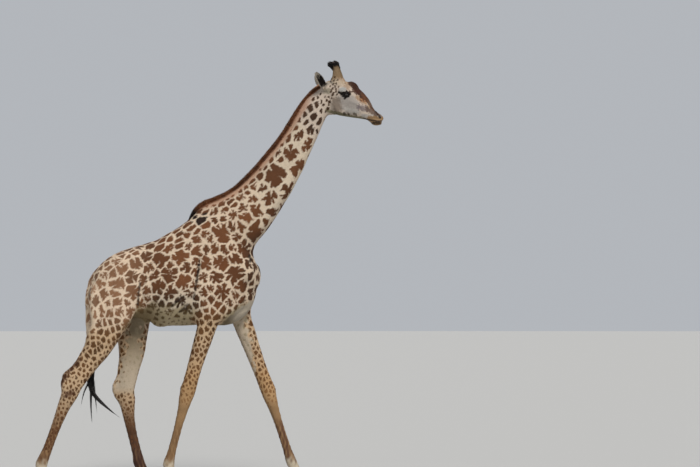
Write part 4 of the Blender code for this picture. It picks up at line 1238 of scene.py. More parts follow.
def face_colours(points, ground, head):
    """The ground colour with the face's strokes, nostrils, lips and lids painted over it."""
    side = flat(points)
    mottle = waves(points, 0.022, 52)
    for path, half, soft, colour, strength in FACE:
        gap = gap_to(side, path) + mottle * soft * 0.45
        share = ramp(gap, half + soft, half - soft * 0.5) * strength * head
        ground = painted(ground, share, colour)
    orange = ramp(np.linalg.norm(side - (1.69, 4.31), axis=1), 0.075, 0.03)
    orange = orange * ramp(waves(points, 0.020, 53), 0.1, 0.7) * head
    ground = painted(ground, orange * 0.7, (126, 72, 44))
    # Painted shade in the nostrils' slits
    slit = ramp(gap_to(side, NOSTRIL), 0.020, 0.009) * head * ramp(np.abs(points[:, 0]), 0.038, 0.050)
    ground = painted(ground, slit, (30, 22, 20))
    # Painted shade along the mouth's crease
    mouth = ramp(gap_to(side, MOUTH), 0.008, 0.003) * head * ramp(side[:, 0], 1.66, 1.70)
    ground = painted(ground, mouth, (44, 30, 26))
    return painted(ground, ramp(eye_gap(points), EYE_REACH * 1.42, EYE_REACH * 1.22), (24, 18, 16))


def horn_and_ear_colours(points, normals, ground, ear, hollow, rim):
    """The ground colour with the horns' tan roots painted over it, and the ears' hollows painted dark as dark
    hair and painted shade.
    """
    for sign in SIDES.values():
        base, run = horn_axis(sign)
        rise = (points - base) @ run / (run @ run) + 0.05 * waves(points, 0.02, 55)
        shaft = ramp(rise, 0.04, 0.26) * (points[:, 0] * sign > 0)
        ground = painted(ground, shaft * 0.95, (140, 116, 86))
        ground = painted(ground, shaft * ramp(-normals[:, 1], 0.2, 0.8) * 0.4, (104, 84, 58))
    ground = painted(ground, ear * 0.9, (166, 157, 144))
    # Dark hair and painted shade inside the ears' hollows
    ground = painted(ground, hollow, (26, 20, 18))
    ground = painted(ground, rim * 0.6 * (1 - hollow), (184, 176, 162))
    return painted(ground, ear * ramp(points[:, 2], 4.575, 4.60) * 0.5, (120, 110, 98))


def below_shoulder(points, normals):
    """1 on the skin that shows between the right foreleg's top edge and the breast: painted shade at the
    back, pale skin further forward.
    """
    forward, height, across = body_of(points)
    edge = np.interp(forward, *zip(*SHOULDER_EDGE))
    below = ramp(height - edge + 0.010 * waves(points, 0.06, 65), 0.010, -0.010) * ramp(height, 1.60, 1.72)
    below = below * ramp(across, 0.08, 0.03) * ramp(forward, 0.085, 0.12)
    return below * ramp(-normals[:, 0], -0.30, 0.0) * ramp(normals[:, 1], 0.8, 0.5)


def rim_light_share(points, normals):
    """1 on the back-facing skin of the thighs, where a rim light is painted."""
    forward, height, _ = body_of(points)
    return ramp(normals[:, 1], 0.35, 0.75) * ramp(forward, -0.95, -1.15) * ramp(height, 1.5, 1.8)


def thinned(field, points, normals, inner, below, head):
    """The depth of the patches, less where they fade out, and with the head's small spots."""
    forward, height, across = body_of(points)
    side = flat(points)
    field = field - 0.0085 * inner - 0.06 * below
    under = ramp(-normals[:, 2], 0.45, 0.85) * ramp(height, 2.1, 1.95) * ramp(height, 1.66, 1.76)
    field = field - 0.010 * under * ramp(forward, -0.95, -0.8)
    shin = np.where(forward > FORE_FROM, ramp(height, 1.00, 0.78), ramp(height, 0.46, 0.34))
    field = field - 0.020 * shin
    throat = np.exp(-((gap_to(side, THROAT) / 0.045) ** 2))
    field = field - 0.006 * (throat * ramp(np.abs(across), 0.07, 0.03) * ramp(forward, 0.7, 0.8))
    # Fewer patches under the painted rim light on the back of the thighs
    field = field - 0.012 * rim_light_share(points, normals) * ramp(height, 2.02, 1.92)
    crest = np.exp(-((gap_to(side, CREST) / 0.030) ** 4))
    field = field - 0.015 * crest * ramp(forward, -0.15, 0.0)
    field = field - 0.08 * head
    wobble = 0.003 * waves(points, 0.02, 51)
    for spot_forward, spot_height, half in FACE_SPOTS:
        spot = [(spot_forward, spot_height), (spot_forward + 0.004, spot_height + 0.010)]
        field = np.maximum(field, np.where(head > 0, half * 0.9 - gap_to(side, spot) + wobble, -1.0))
    return field


def paint_skin(mesh):
    """Ground colour, patch colour and patch depth for each vertex of the skin."""
    points, normals = points_of(mesh), normals_of(mesh)
    forward, height, _ = body_of(points)
    field, patch_tone = patch_field(points, normals)
    ground, patch = base_colours(points, normals, patch_tone)
    inner = inside_leg(points, normals)
    ground = painted(ground, inner * 0.85, (184, 171, 152))
    # Painted shade on the upper inner faces of the hind legs
    shade = ramp(forward, -0.4, -0.5) * ramp(height, 1.2, 1.7) * inner
    ground = painted(ground, shade * 0.75, (124, 108, 80))
    patch = painted(patch, inner * 0.9, (160, 148, 122))
    below = below_shoulder(points, normals)
    # Painted shade in the armpit, then pale skin further forward
    ground = painted(ground, below * 0.9, (112, 98, 74))
    ground = painted(ground, below * ramp(forward, 0.17, 0.30) * 0.95, (184, 172, 154))
    # Painted rim light on the back-facing skin of the thighs
    ground = painted(ground, rim_light_share(points, normals) * 0.4, (206, 186, 156))
    ragged = 0.006 * waves(points, 0.03, 54)
    # Painted shade in the folds, on ground and patches alike
    for path, half, strength in FOLD_SHADE:
        share = ramp(gap_to(flat(points), path) + ragged, half + 0.009, half - 0.004)
        share = share * ramp(np.abs(normals[:, 0]), 0.1, 0.4) * strength
        ground = painted(ground, share, (40, 29, 23))
        patch = painted(patch, share, (30, 22, 18))
    head = ramp(forward, 1.22, 1.27) * ramp(height, 4.0, 4.02)
    field = thinned(field, points, normals, inner, below, head)
    ground = face_colours(points, ground, head)
    ear, hollow, rim = ear_share(points, normals)
    ground = horn_and_ear_colours(points, normals, ground, ear, hollow, rim)
    fade = waves(points, 0.35, 61) * 0.035
    return np.clip(ground * (1 + fade)[:, None], 0, 1), patch, field - 0.05 * ear


def coat_slope(points, on_head):
    """How far back and how far down the coat runs at each point; on_head is how far back on the head."""
    forward, height, _ = body_of(points)
    neck = ramp(forward + 0.5 * (height - 2.9), 0.25, 0.55)
    leg = np.maximum(on_leg(points), ramp(height, 2.2, 1.9))
    head = ramp(forward, 1.22, 1.32) * (height > 3.9)
    back = 0.75 * (1 - neck) + 0.62 * neck
    down = 0.66 * (1 - neck) + 0.78 * neck
    back, down = back * (1 - leg) + 0.10 * leg, down * (1 - leg) + leg
    return back * (1 - head) + on_head * head, down * (1 - head) + 0.10 * head


def fur_way(points, normals):
    """The lie of the coat at each point, along the surface."""
    way = np.zeros_like(points)
    back, down = coat_slope(points, 0.92)
    way[:, 1], way[:, 2] = back, -down
    ear = ear_share(points, normals)[0]
    for side in SIDES.values():
        run = ear_axes(side)[1]
        way = mixed(way, np.array([tuple(run)]), ear * (points[:, 0] * side > 0))
    return laid(way, normals)


# ---------------------------------------------------------------- finishes


def blank(name):
    """A new material, its node tree and its shader."""
    material = bpy.data.materials.new(name)
    material.use_nodes = True
    tree = material.node_tree
    return material, tree, tree.nodes["Principled BSDF"]


def feed(tree, node, values):
    """Sets or links a node's inputs, by name or place."""
    for name, value in values.items():
        if isinstance(value, bpy.types.NodeSocket):
            tree.links.new(value, node.inputs[name])
        else:
            node.inputs[name].default_value = value


def add(tree, kind, values=(), **options):
    """A new node with its options and inputs set."""
    made = tree.nodes.new(kind)
    for name, value in options.items():
        setattr(made, name, value)
    feed(tree, made, dict(values))
    return made


def attribute(tree, name, output="Color"):
    return add(tree, "ShaderNodeAttribute", attribute_name=name).outputs[output]


def noise(tree, vector, scale, detail=2.0):
    found = add(tree, "ShaderNodeTexNoise", {"Vector": vector, "Scale": scale, "Detail": detail})
    return found.outputs[0]


def ranged(tree, value, low, high, to_low=0.0, to_high=1.0, smooth=False):
    kind = "SMOOTHSTEP" if smooth else "LINEAR"
    values = {"Value": value, "From Min": low, "From Max": high, "To Min": to_low, "To Max": to_high}
    return add(tree, "ShaderNodeMapRange", values, interpolation_type=kind).outputs[0]


def blended(tree, share, first, second, blend="MIX"):
    """Two colours mixed. The mix node takes them at its inputs 6 and 7 and gives them at its output 2."""
    values = {0: share, 6: first, 7: second}
    return add(tree, "ShaderNodeMix", values, data_type="RGBA", blend_type=blend).outputs[2]


def tinted(tree, colour, value):
    """A colour made lighter or darker by a number."""
    grey = add(tree, "ShaderNodeCombineColor", {"Red": value, "Green": value, "Blue": value})
    return blended(tree, 1.0, colour, grey.outputs[0], "MULTIPLY")


def worked(tree, operation, *values):
    """The result of a maths node."""
    return add(tree, "ShaderNodeMath", dict(enumerate(values)), operation=operation).outputs[0]


def bump(tree, shader, height, strength, distance):
    made = add(tree, "ShaderNodeBump", {"Height": height, "Strength": strength, "Distance": distance})
    tree.links.new(made.outputs[0], shader.inputs["Normal"])


def object_place(tree):
    return add(tree, "ShaderNodeTexCoord").outputs["Object"]


def stretched(tree, vector, scales):
    values = {0: vector, 1: scales}
    return add(tree, "ShaderNodeVectorMath", values, operation="MULTIPLY").outputs[0]


HAIR_SHINE = 0.18


def skin_finish():
    """Short hair over skin: ragged patches on the ground colour, streaked along the lie of the coat."""
    material, tree, shader = blank("Giraffe skin")
    place = object_place(tree)
    ragged = noise(tree, place, 170.0, 3.0)
    depth = worked(tree, "MULTIPLY_ADD", ragged, 0.012, attribute(tree, "deep", "Fac"))
    share = ranged(tree, depth, 0.0040, 0.0080, smooth=True)
    colour = blended(tree, share, attribute(tree, "ground"), attribute(tree, "patch"))
    grain = attribute(tree, "grain", "Vector")
    hair = noise(tree, stretched(tree, grain, (55.0, 620.0, 620.0)), 1.0, 3.0)
    tint = ranged(tree, hair, 0.30, 0.70, 0.80, 1.10)
    cloud = ranged(tree, noise(tree, place, 9.0, 3.0), 0.3, 0.7, 0.94, 1.06)
    colour = tinted(tree, colour, worked(tree, "MULTIPLY", tint, cloud))
    dry = ranged(tree, attribute(tree, "wet", "Fac"), 0, 1, 1, 0.42)
    rough = worked(tree, "MULTIPLY", ranged(tree, hair, 0.2, 0.8, 0.72, 0.90), dry)
    feed(tree, shader, {"Base Color": colour, "Roughness": rough})
    feed(tree, shader, {"Sheen Weight": 0.03, "Specular IOR Level": HAIR_SHINE})
    creases = noise(tree, place, 260.0, 3.0)
    bump(tree, shader, worked(tree, "MULTIPLY_ADD", creases, 0.35, hair), 0.55, 0.0022)
    return material


def hair_finish(name, roughness=0.65, sheen=0.02):
    """Hair coloured by its own attribute, with a faint grain along it."""
    material, tree, shader = blank(name)
    fine = noise(tree, object_place(tree), 420.0, 2.0)
    tint = ranged(tree, fine, 0.25, 0.75, 0.86, 1.12)
    colour = tinted(tree, attribute(tree, "hair"), tint)
    rough = ranged(tree, fine, 0.2, 0.8, roughness - 0.08, roughness + 0.08)
    feed(tree, shader, {"Base Color": colour, "Roughness": rough})
    feed(tree, shader, {"Sheen Weight": sheen, "Specular IOR Level": HAIR_SHINE})
    return material


def painted_finish(name, bump_scale, bump_depth, low_rough, high_rough, coat=0.0):
    """A surface coloured by its own attribute, with fine relief."""
    material, tree, shader = blank(name)
    fine = noise(tree, object_place(tree), bump_scale, 4.0)
    tint = ranged(tree, fine, 0.3, 0.7, 0.85, 1.12)
    rough = ranged(tree, fine, 0.3, 0.7, low_rough, high_rough)
    feed(tree, shader, {"Base Color": tinted(tree, attribute(tree, "hair"), tint), "Roughness": rough})
    feed(tree, shader, {"Coat Weight": coat, "Coat Roughness": 0.04})
    if bump_depth:
        bump(tree, shader, fine, 0.6, bump_depth)
    return material


def give(mesh, name, kind, field, rows):
    """A new attribute of the mesh's points."""
    made = mesh.attributes.new(name, kind, "POINT")
    made.data.foreach_set(field, np.asarray(rows, np.float32).ravel())


def give_colours(mesh, name, colours):
    rows = np.ones((len(colours), 4))
    rows[:, :3] = np.clip(colours, 0, 1)
    give(mesh, name, "FLOAT_COLOR", "color", rows)


# ---------------------------------------------------------------- hair


def mesh_of(name, points, faces):
    """A mesh from rows of points and rows of equal faces."""
    mesh = bpy.data.meshes.new(name)
    mesh.vertices.add(len(points))
    mesh.vertices.foreach_set("co", np.ascontiguousarray(points, np.float32).ravel())
    mesh.loops.add(faces.size)
    mesh.loops.foreach_set("vertex_index", np.ascontiguousarray(faces, np.int32).ravel())
    mesh.polygons.add(len(faces))
    mesh.polygons.foreach_set("loop_start", np.arange(len(faces), dtype=np.int32) * faces.shape[1])
    mesh.update(calc_edges=True)
    return mesh


def strewn(mesh, density, count, seed):
    """Roots strewn over a mesh by density: the corners of each root's triangle and its share of each."""
    mesh.calc_loop_triangles()
    corners = read(mesh.loop_triangles, "vertices", 3, np.int32)
    points = points_of(mesh)
    a, b, c = points[corners[:, 0]], points[corners[:, 1]], points[corners[:, 2]]
    area = np.linalg.norm(np.cross(b - a, c - a), axis=1) * density[corners].mean(1)
    total = np.cumsum(area)
    draw = np.random.default_rng(seed)
    picks = np.searchsorted(total, (np.arange(count) + draw.random(count)) / count * total[-1])
    picks = np.minimum(picks, len(corners) - 1)
    u, v = draw.random(count), draw.random(count)
    over = u + v > 1
    u[over], v[over] = 1 - u[over], 1 - v[over]
    return corners[picks], np.stack([1 - u - v, u, v], 1)


def carried(values, corners, share):
    """Values of the mesh's points at the roots."""
    found = values[corners]
    share = share.reshape(share.shape + (1,) * (found.ndim - 2))
    return (found * share).sum(1)


TUFT_FACES = np.array([(0, 1, 3), (0, 3, 2), (1, 4, 3), (3, 4, 2)])
# Painted shade at each tuft's sunk root and painted light towards its raised ridge and tip: colour factors
# for its five points
TUFT_PAINTED_SHADING = np.array([0.84, 0.98, 0.98, 1.03, 1.12])
BAKE_PATCH = np.array([(0.0, -0.0015), (-0.0012, 0.0), (0.0012, 0.0), (0.0, 0.0004), (0.0, 0.0015)])


def tuft_mesh(name, roots, normals, way, length, width, lift, colour, places, ends=None):
    """A thin ridged leaf of hair at each root, leaning along the way by lift and laid down at its tip."""
    across = unit(np.cross(normals, way))
    length, width = length[:, None], width[:, None]
    rise, run = np.sin(lift)[:, None], np.cos(lift)[:, None]
    points = np.empty((len(roots), 5, 3))
    middle = roots + (way * run + normals * rise) * length * 0.45
    points[:, 0] = roots - normals * 0.0015
    points[:, 1] = middle - across * width / 2
    points[:, 2] = middle + across * width / 2
    points[:, 3] = middle + normals * width * 0.22
    points[:, 4] = roots + way * run * length + normals * rise * length * 0.72
    faces = (np.arange(len(roots))[:, None, None] * 5 + TUFT_FACES).reshape(-1, 3)
    mesh = mesh_of(name, points.reshape(-1, 3), faces)
    # Each tuft's colour with painted shade at its root and painted light at its tip
    rows = colour[:, None] * TUFT_PAINTED_SHADING[None, :, None]
    if ends is not None:
        rows[:, 0], rows[:, 4] = ends
    give_colours(mesh, "hair", rows.reshape(-1, 3))
    layer = mesh.uv_layers.new(name=UV_MAP)
    spots = (places[:, None] + BAKE_PATCH).reshape(-1, 2)[faces.ravel()]
    layer.uv.foreach_set("vector", spots.astype(np.float32).ravel())
    return mesh


def strand_mesh(name, paths, radii, colour, places):
    """A thin three-sided strand along each path (strand, step, xyz), drawn out to a point."""
    count, steps, _ = paths.shape
    run = np.gradient(paths, axis=1)
    run /= np.linalg.norm(run, axis=2)[..., None]
    aside = np.cross(run, np.array((0.3, 0.4, 0.86)))
    aside /= np.linalg.norm(aside, axis=2)[..., None]
    other = np.cross(run, aside)
    rings = []
    for k in range(3):
        turn = 2 * math.pi * k / 3
        rings.append(paths + (aside * math.cos(turn) + other * math.sin(turn)) * radii[..., None])
    points = np.stack(rings, 2).reshape(-1, 3)
    faces = []
    for s in range(steps - 1):
        for k in range(3):
            n = (k + 1) % 3
            faces.append((s * 3 + k, s * 3 + n, (s + 1) * 3 + n))
            faces.append((s * 3 + k, (s + 1) * 3 + n, (s + 1) * 3 + k))
    faces = (np.arange(count)[:, None, None] * steps * 3 + np.array(faces)).reshape(-1, 3)
    mesh = mesh_of(name, points, faces)
    # Painted shade at each strand's root, lightening towards its tip
    shade = np.linspace(0.85, 1.1, steps)[None, :, None, None]
    rows = np.broadcast_to(colour[:, None, None] * shade, (count, steps, 3, 3))
    give_colours(mesh, "hair", rows.reshape(-1, 3))
    layer = mesh.uv_layers.new(name=UV_MAP)
    turn = np.linspace(-0.0015, 0.0015, steps)
    spots = np.empty((count, steps, 3, 2))
    spots[..., 0] = places[:, None, None, 0] + np.array((-0.001, 0.0, 0.001))
    spots[..., 1] = places[:, None, None, 1] + turn[None, :, None]
    layer.uv.foreach_set("vector", spots.reshape(-1, 2)[faces.ravel()].astype(np.float32).ravel())
    return mesh


# The middle lines that the coat of each part is unwrapped round
TRUNK_LINE = [(-1.45, 2.10, 0), (-0.8, 2.3, 0), (0.0, 2.5, 0), (0.6, 2.55, 0)]
COAT_LINES = {
    "trunk_right": TRUNK_LINE,
    "trunk_left": TRUNK_LINE,
    "neck": [(-0.10, 2.85, 0), (0.25, 3.10, 0), (0.62, 3.45, 0), (0.95, 3.90, 0), (1.25, 4.28, 0)],
    "head": [(1.10, 4.36, 0), (1.45, 4.32, 0), (1.95, 4.08, 0)],
}


def unwrapped(points, line, left=0.0, right=1.0):
    """Each point's place on a sheet rolled round a bent line: round it, left to right, and along it."""
    path = np.array([tuple(at(*row)) for row in line])
    _, along = near_path(points, path)
    gap = points - along_path(path, along)
    run = (path[-1] - path[0]) / np.linalg.norm(path[-1] - path[0])
    aside = np.array((1.0, 0.0, 0.0))
    up = np.cross(run, aside)
    turn = np.arctan2(gap @ aside, gap @ up) / (2 * math.pi) + 0.5
    round_it = left + (right - left) * (0.01 + 0.98 * turn)
    return np.stack([round_it, 0.01 + 0.98 * along], 1)


def coat_parts(points):
    """The name of the coat piece that each point belongs to, and its place on that piece's unwrap."""
    forward, height, across = body_of(points)
    head = (forward > 1.19) & (height > 4.0)
    leg = (on_leg(points) > 0.5) | (height < 1.7)
    neck = (forward * 0.62 + height * 0.78 > 2.68) & ~head
    parts = np.where(across < 0, "trunk_right", "trunk_left").astype(object)
    parts[neck] = "neck"
    parts[head] = "head"
    fore = forward > FORE_FROM
    parts[leg & fore] = "forelegs"
    parts[leg & ~fore] = "hindlegs"
    tail = (height < 2.4) & (height > 1.4) & (forward < -1.24) & (np.abs(across) < 0.05)
    parts[tail] = "trunk_right"
    places = np.zeros((len(points), 2))
    for name, line in COAT_LINES.items():
        here = parts == name
        places[here] = unwrapped(points[here], line)
    for pair, name in ((FORELEGS, "forelegs"), (HINDLEGS, "hindlegs")):
        for leg_name, left, right in ((pair[0], 0.0, 0.5), (pair[1], 0.5, 1.0)):
            side = SIDES[leg_name.split("_")[1]]
            here = (parts == name) & (np.sign(across) == side)
            places[here] = unwrapped(points[here], leg_line(leg_name), left, right)
    return parts, places


HEAD_TUFT_LENGTH, HEAD_TUFT_WIDTH = 0.0105, 0.0026


def coat_size(points, normals):
    """Length, width, lift and density of the tufts at each point."""
    forward, height, _ = body_of(points)
    coat = settings("coat")
    head = ramp(forward, 1.20, 1.30) * (height > 3.9)
    face = ramp(forward, 1.45, 1.60) * (height > 3.9)
    muzzle = ramp(forward, 1.74, 1.84) * (height > 3.9)
    foot = ramp(height, 0.55, 0.25)
    leg = ramp(height, 1.9, 1.2)
    length = coat.tuft_length * (1 - 0.25 * leg - 0.20 * foot)
    length = length * (1 - head) + HEAD_TUFT_LENGTH * head
    length = length * (1 - 0.30 * face - 0.25 * muzzle)
    width = coat.tuft_width * (1 - 0.25 * leg - 0.20 * foot)
    width = width * (1 - head) + HEAD_TUFT_WIDTH * head
    width = width * (1 - 0.25 * face - 0.20 * muzzle)
    under = ramp(-normals[:, 2], 0.25, 0.8)
    length = length * (1 + 0.35 * under * (1 - head))
    lift = 0.13 + 0.08 * under
    back = ramp(normals[:, 1], 0.4, 0.9) * ramp(height, 2.0, 1.7) * (height < 3)
    length = length * (1 + 0.35 * back)
    lift = lift + 0.12 * back
    crest = ramp(normals[:, 2], 0.6, 0.95) * (1 - head)
    lift = lift + 0.07 * crest
    feather = ramp(height, 0.22, 0.16)
    length = length * (1 + 0.5 * feather)
    density = 1.0 + 0.35 * leg + 0.6 * foot + 0.25 * under + 0.5 * back + 2.6 * head + 0.8 * face
    return length, width, lift, density


# ---------------------------------------------------------------- pieces


def stored(mesh, name, kind="color", width=4):
    """An attribute of the mesh's points, without a colour's fourth number."""
    return read(mesh.attributes[name].data, kind, width, np.float32)[:, :3].astype(float)


def grain_rows(points):
    """Coordinates that run along the lie of the coat, turned gently from part to part."""
    back, down = coat_slope(points, 0.95)
    size = np.hypot(back, down)
    back, down = back / size, down / size
    along = points[:, 1] * back - points[:, 2] * down
    aside = points[:, 1] * down + points[:, 2] * back
    return np.stack([along, aside, points[:, 0]], 1)


def eye_gap(points):
    """Distance of each point from the nearer eye's centre."""
    return np.minimum(*(np.linalg.norm(points - eye_centre(side), axis=1) for side in SIDES.values()))


def make_skin():
    mesh = skin_mesh()
    ground, patch, deep = paint_skin(mesh)
    points = points_of(mesh)
    give_colours(mesh, "ground", ground)
    give_colours(mesh, "patch", patch)
    give(mesh, "deep", "FLOAT", "value", deep)
    give(mesh, "grain", "FLOAT_VECTOR", "vector", grain_rows(points))
    slit = gap_to(flat(points), NOSTRIL)
    wet = np.maximum(ramp(slit, 0.018, 0.008), ramp(eye_gap(points), EYE_REACH * 1.3, EYE_REACH * 1.1))
    lips = gap_to(flat(points), MOUTH)
    wet = np.maximum(wet, ramp(lips, 0.012, 0.004) * 0.8) * (points[:, 2] > 3.9)
    give(mesh, "wet", "FLOAT", "value", wet)
    keep_piece("skin", mesh, skin_finish(), FLESH + ("ear_right", "ear_left"))


COAT_SHARES = {  # of all tufts
    "trunk_right": 0.190, "trunk_left": 0.190, "neck": 0.170, "head": 0.170,
    "forelegs": 0.130, "hindlegs": 0.150,
}


def make_coat():
    """Strews tufts over the skin, one piece for each part, in the skin's own colours."""
    mesh = bpy.data.objects["skin"].data
    points, normals = points_of(mesh), normals_of(mesh)
    ground, patch = stored(mesh, "ground"), stored(mesh, "patch")
    deep, wet = (stored(mesh, name, "value", 1)[:, 0] for name in ("deep", "wet"))
    length, width, lift, density = coat_size(points, normals)
    way = fur_way(points, normals)
    density = density * (1 - wet) * ramp(eye_gap(points), EYE_REACH * 1.18, EYE_REACH * 1.5)
    parts, places = coat_parts(points)
    _, hollow, rim = ear_share(points, normals)
    length = length * (1 + 0.25 * rim + 0.5 * hollow)
    lift = lift + 0.08 * rim + 0.20 * hollow
    blur = 0.0014 + 0.0018 * on_leg(points)
    finish = hair_finish("Giraffe coat")
    total = settings("coat").tufts
    for k, (name, share) in enumerate(COAT_SHARES.items()):
        count = int(total * share)
        corners, weights = strewn(mesh, density * (parts == name), count, 100 + k)

        def here(values):
            return carried(values, corners, weights)

        draw = np.random.default_rng(200 + k)
        face = unit(here(normals))
        lie = laid(unit(here(way) + draw.normal(0, 0.16, (count, 3))), face)
        inside = ramp(here(deep) + draw.normal(0, 1, count) * here(blur), -0.0014, 0.0022)
        colour = mixed(here(ground), here(patch), inside) * draw.uniform(0.86, 1.12, (count, 1))
        long = here(length) * draw.uniform(0.72, 1.28, count)
        wide = here(width) * draw.uniform(0.75, 1.20, count)
        lean = here(lift) * draw.uniform(0.6, 1.6, count)
        spots = places[corners[:, 0]]
        tufts = tuft_mesh(f"coat_{name}", here(points), face, lie, long, wide, lean, colour, spots)
        keep_piece(f"coat_{name}", tufts, finish)


MANE_ROWS = [  # forward, root height, how far it stands
    (1.22, 4.452, 0.034), (1.14, 4.385, 0.052), (0.992, 4.19, 0.06), (0.802, 3.887, 0.06),
    (0.612, 3.646, 0.06), (0.43, 3.442, 0.06), (0.25, 3.275, 0.06), (0.045, 3.172, 0.06),
    (-0.085, 3.125, 0.058), (-0.165, 3.06, 0.05), (-0.215, 2.985, 0.036), (-0.25, 2.945, 0.014),
]
MANE_HALF = 0.017
MANE_OVER = 0.06  # how far over the crest the roots are looked for
MANE_GRAIN, MANE_HAIR = 0.008, 0.0034
MANE_SINK = Vector((0, -0.015, -0.013))


def make_mane():
    """A stiff upright mane: hairs packed along the crest, round a core that fills their roots."""
    hair = settings("hair")
    lower = node_shell("mane")
    lower.transform(Matrix.Translation(MANE_SINK))
    core = remeshed(joined(node_shell("mane"), lower), MANE_GRAIN)
    eased(core, 0.5, 5)
    points, normals = points_of(core), normals_of(core)
    ridge = 0.0010 * waves(points, 0.030, 71) - 0.014
    set_points(core, points + normals * ridge[:, None])
    low = ramp(body_of(points)[0], -0.13, -0.19)
    tan = filled(hair.mane_root, len(points))
    give_colours(core, "hair", painted(tan, 0.10 + 0.90 * low, (50, 28, 20)))
    keep_piece("mane_core", core, painted_finish("Mane roots", 300.0, 0.002, 0.75, 0.9), ("mane",))
    skin = bpy.data.objects["skin"]
    tree = BVHTree.FromObject(skin, bpy.context.evaluated_depsgraph_get())
    count = hair.mane_hairs
    draw = np.random.default_rng(300)
    rows = smooth_rows(MANE_ROWS, 8)
    path = np.array([(*at(f, z), stand) for f, z, stand in rows])
    t = (np.arange(count) + draw.random(count)) / count
    root = along_path(path, t)
    stand, root = root[:, 3], root[:, :3]
    down = unit(along_path(path, t + 0.012)[:, :3] - along_path(path, t - 0.012)[:, :3])
    sideways = np.array((1.0, 0, 0))
    up = unit(np.cross(down, sideways))
    up = up * np.sign(up[:, 2])[:, None]
    spread = np.clip(draw.normal(0, 0.50, count), -1, 1)
    over = root + sideways * (spread * MANE_HALF)[:, None] + up * MANE_OVER
    sunk = np.full(count, MANE_OVER)
    for k in range(count):
        hit = tree.ray_cast(Vector(over[k]), Vector(-up[k]), 0.16)
        if hit[0] is not None:
            sunk[k] = hit[3]
    foot = over - up * (sunk + 0.004)[:, None]
    tilt = 0.12 + 0.10 * waves(root, 0.12, 72) + draw.normal(0, 0.09, count)
    side = 0.16 * spread + draw.normal(0, 0.07, count)
    way = unit(up + down * tilt[:, None] + sideways * side[:, None])
    face = unit(np.cross(way, np.cross(sideways, way)))
    turn = draw.normal(0, 0.7, (count, 1))
    face = face * np.cos(turn) + np.cross(way, face) * np.sin(turn)
    length = (stand + sunk - MANE_OVER + 0.006) * (1 - 0.22 * np.abs(spread))
    length = np.maximum(length * draw.uniform(0.86, 1.05, count), 0.012)
    shade = (1 - 0.35 * ramp(waves(root, 0.13, 74) + 0.5 * waves(root, 0.05, 75), -0.1, 0.9))[:, None]
    shade = shade * draw.uniform(0.8, 1.2, (count, 1))
    dark = ramp(t, 0.905, 0.95)
    bases = (hair.mane_root, hair.mane, hair.mane_tip)
    feet, colour, tips = (painted([base], dark, (30, 20, 16)) * shade for base in bases)
    width = np.full(count, MANE_HAIR)
    places = np.stack([0.1 + 0.8 * t, 0.5 + 0.4 * spread], 1)
    made = tuft_mesh("mane", foot, face, way, length, width, np.zeros(count), colour, places, (feet, tips))
    keep_piece("mane", made, hair_finish("Mane hair", 0.6))


TASSEL_ROWS = [  # forward, height, across, radius
    (-1.317, 1.5, 0.014, 0.017), (-1.315, 1.4, 0.013, 0.028), (-1.322, 1.26, 0.01, 0.034),
    (-1.338, 1.14, 0.006, 0.035), (-1.298, 1.035, 0.002, 0.031), (-1.205, 0.935, -0.002, 0.025),
    (-1.105, 0.85, -0.006, 0.016), (-1.02, 0.785, -0.01, 0.007),
]
WISPS = [  # hairs, spread, path of (forward, height, across)
    (90, 0.01, [(-1.317, 1.42, 0.012), (-1.345, 1.2, 0.004), (-1.405, 1.05, -0.008), (-1.444, 0.87, -0.016)]),
    (140, 0.012, [(-1.317, 1.38, 0.012), (-1.325, 1.15, 0.006), (-1.33, 0.92, 0.012), (-1.316, 0.68, 0.018)]),
    (50, 0.008, [(-1.317, 1.3, 0.01), (-1.29, 1.08, 0), (-1.268, 0.9, -0.01), (-1.262, 0.8, -0.014)]),
]
TASSEL_GRAIN, TASSEL_HAIR, TASSEL_STEPS = 0.005, 0.0015, 9


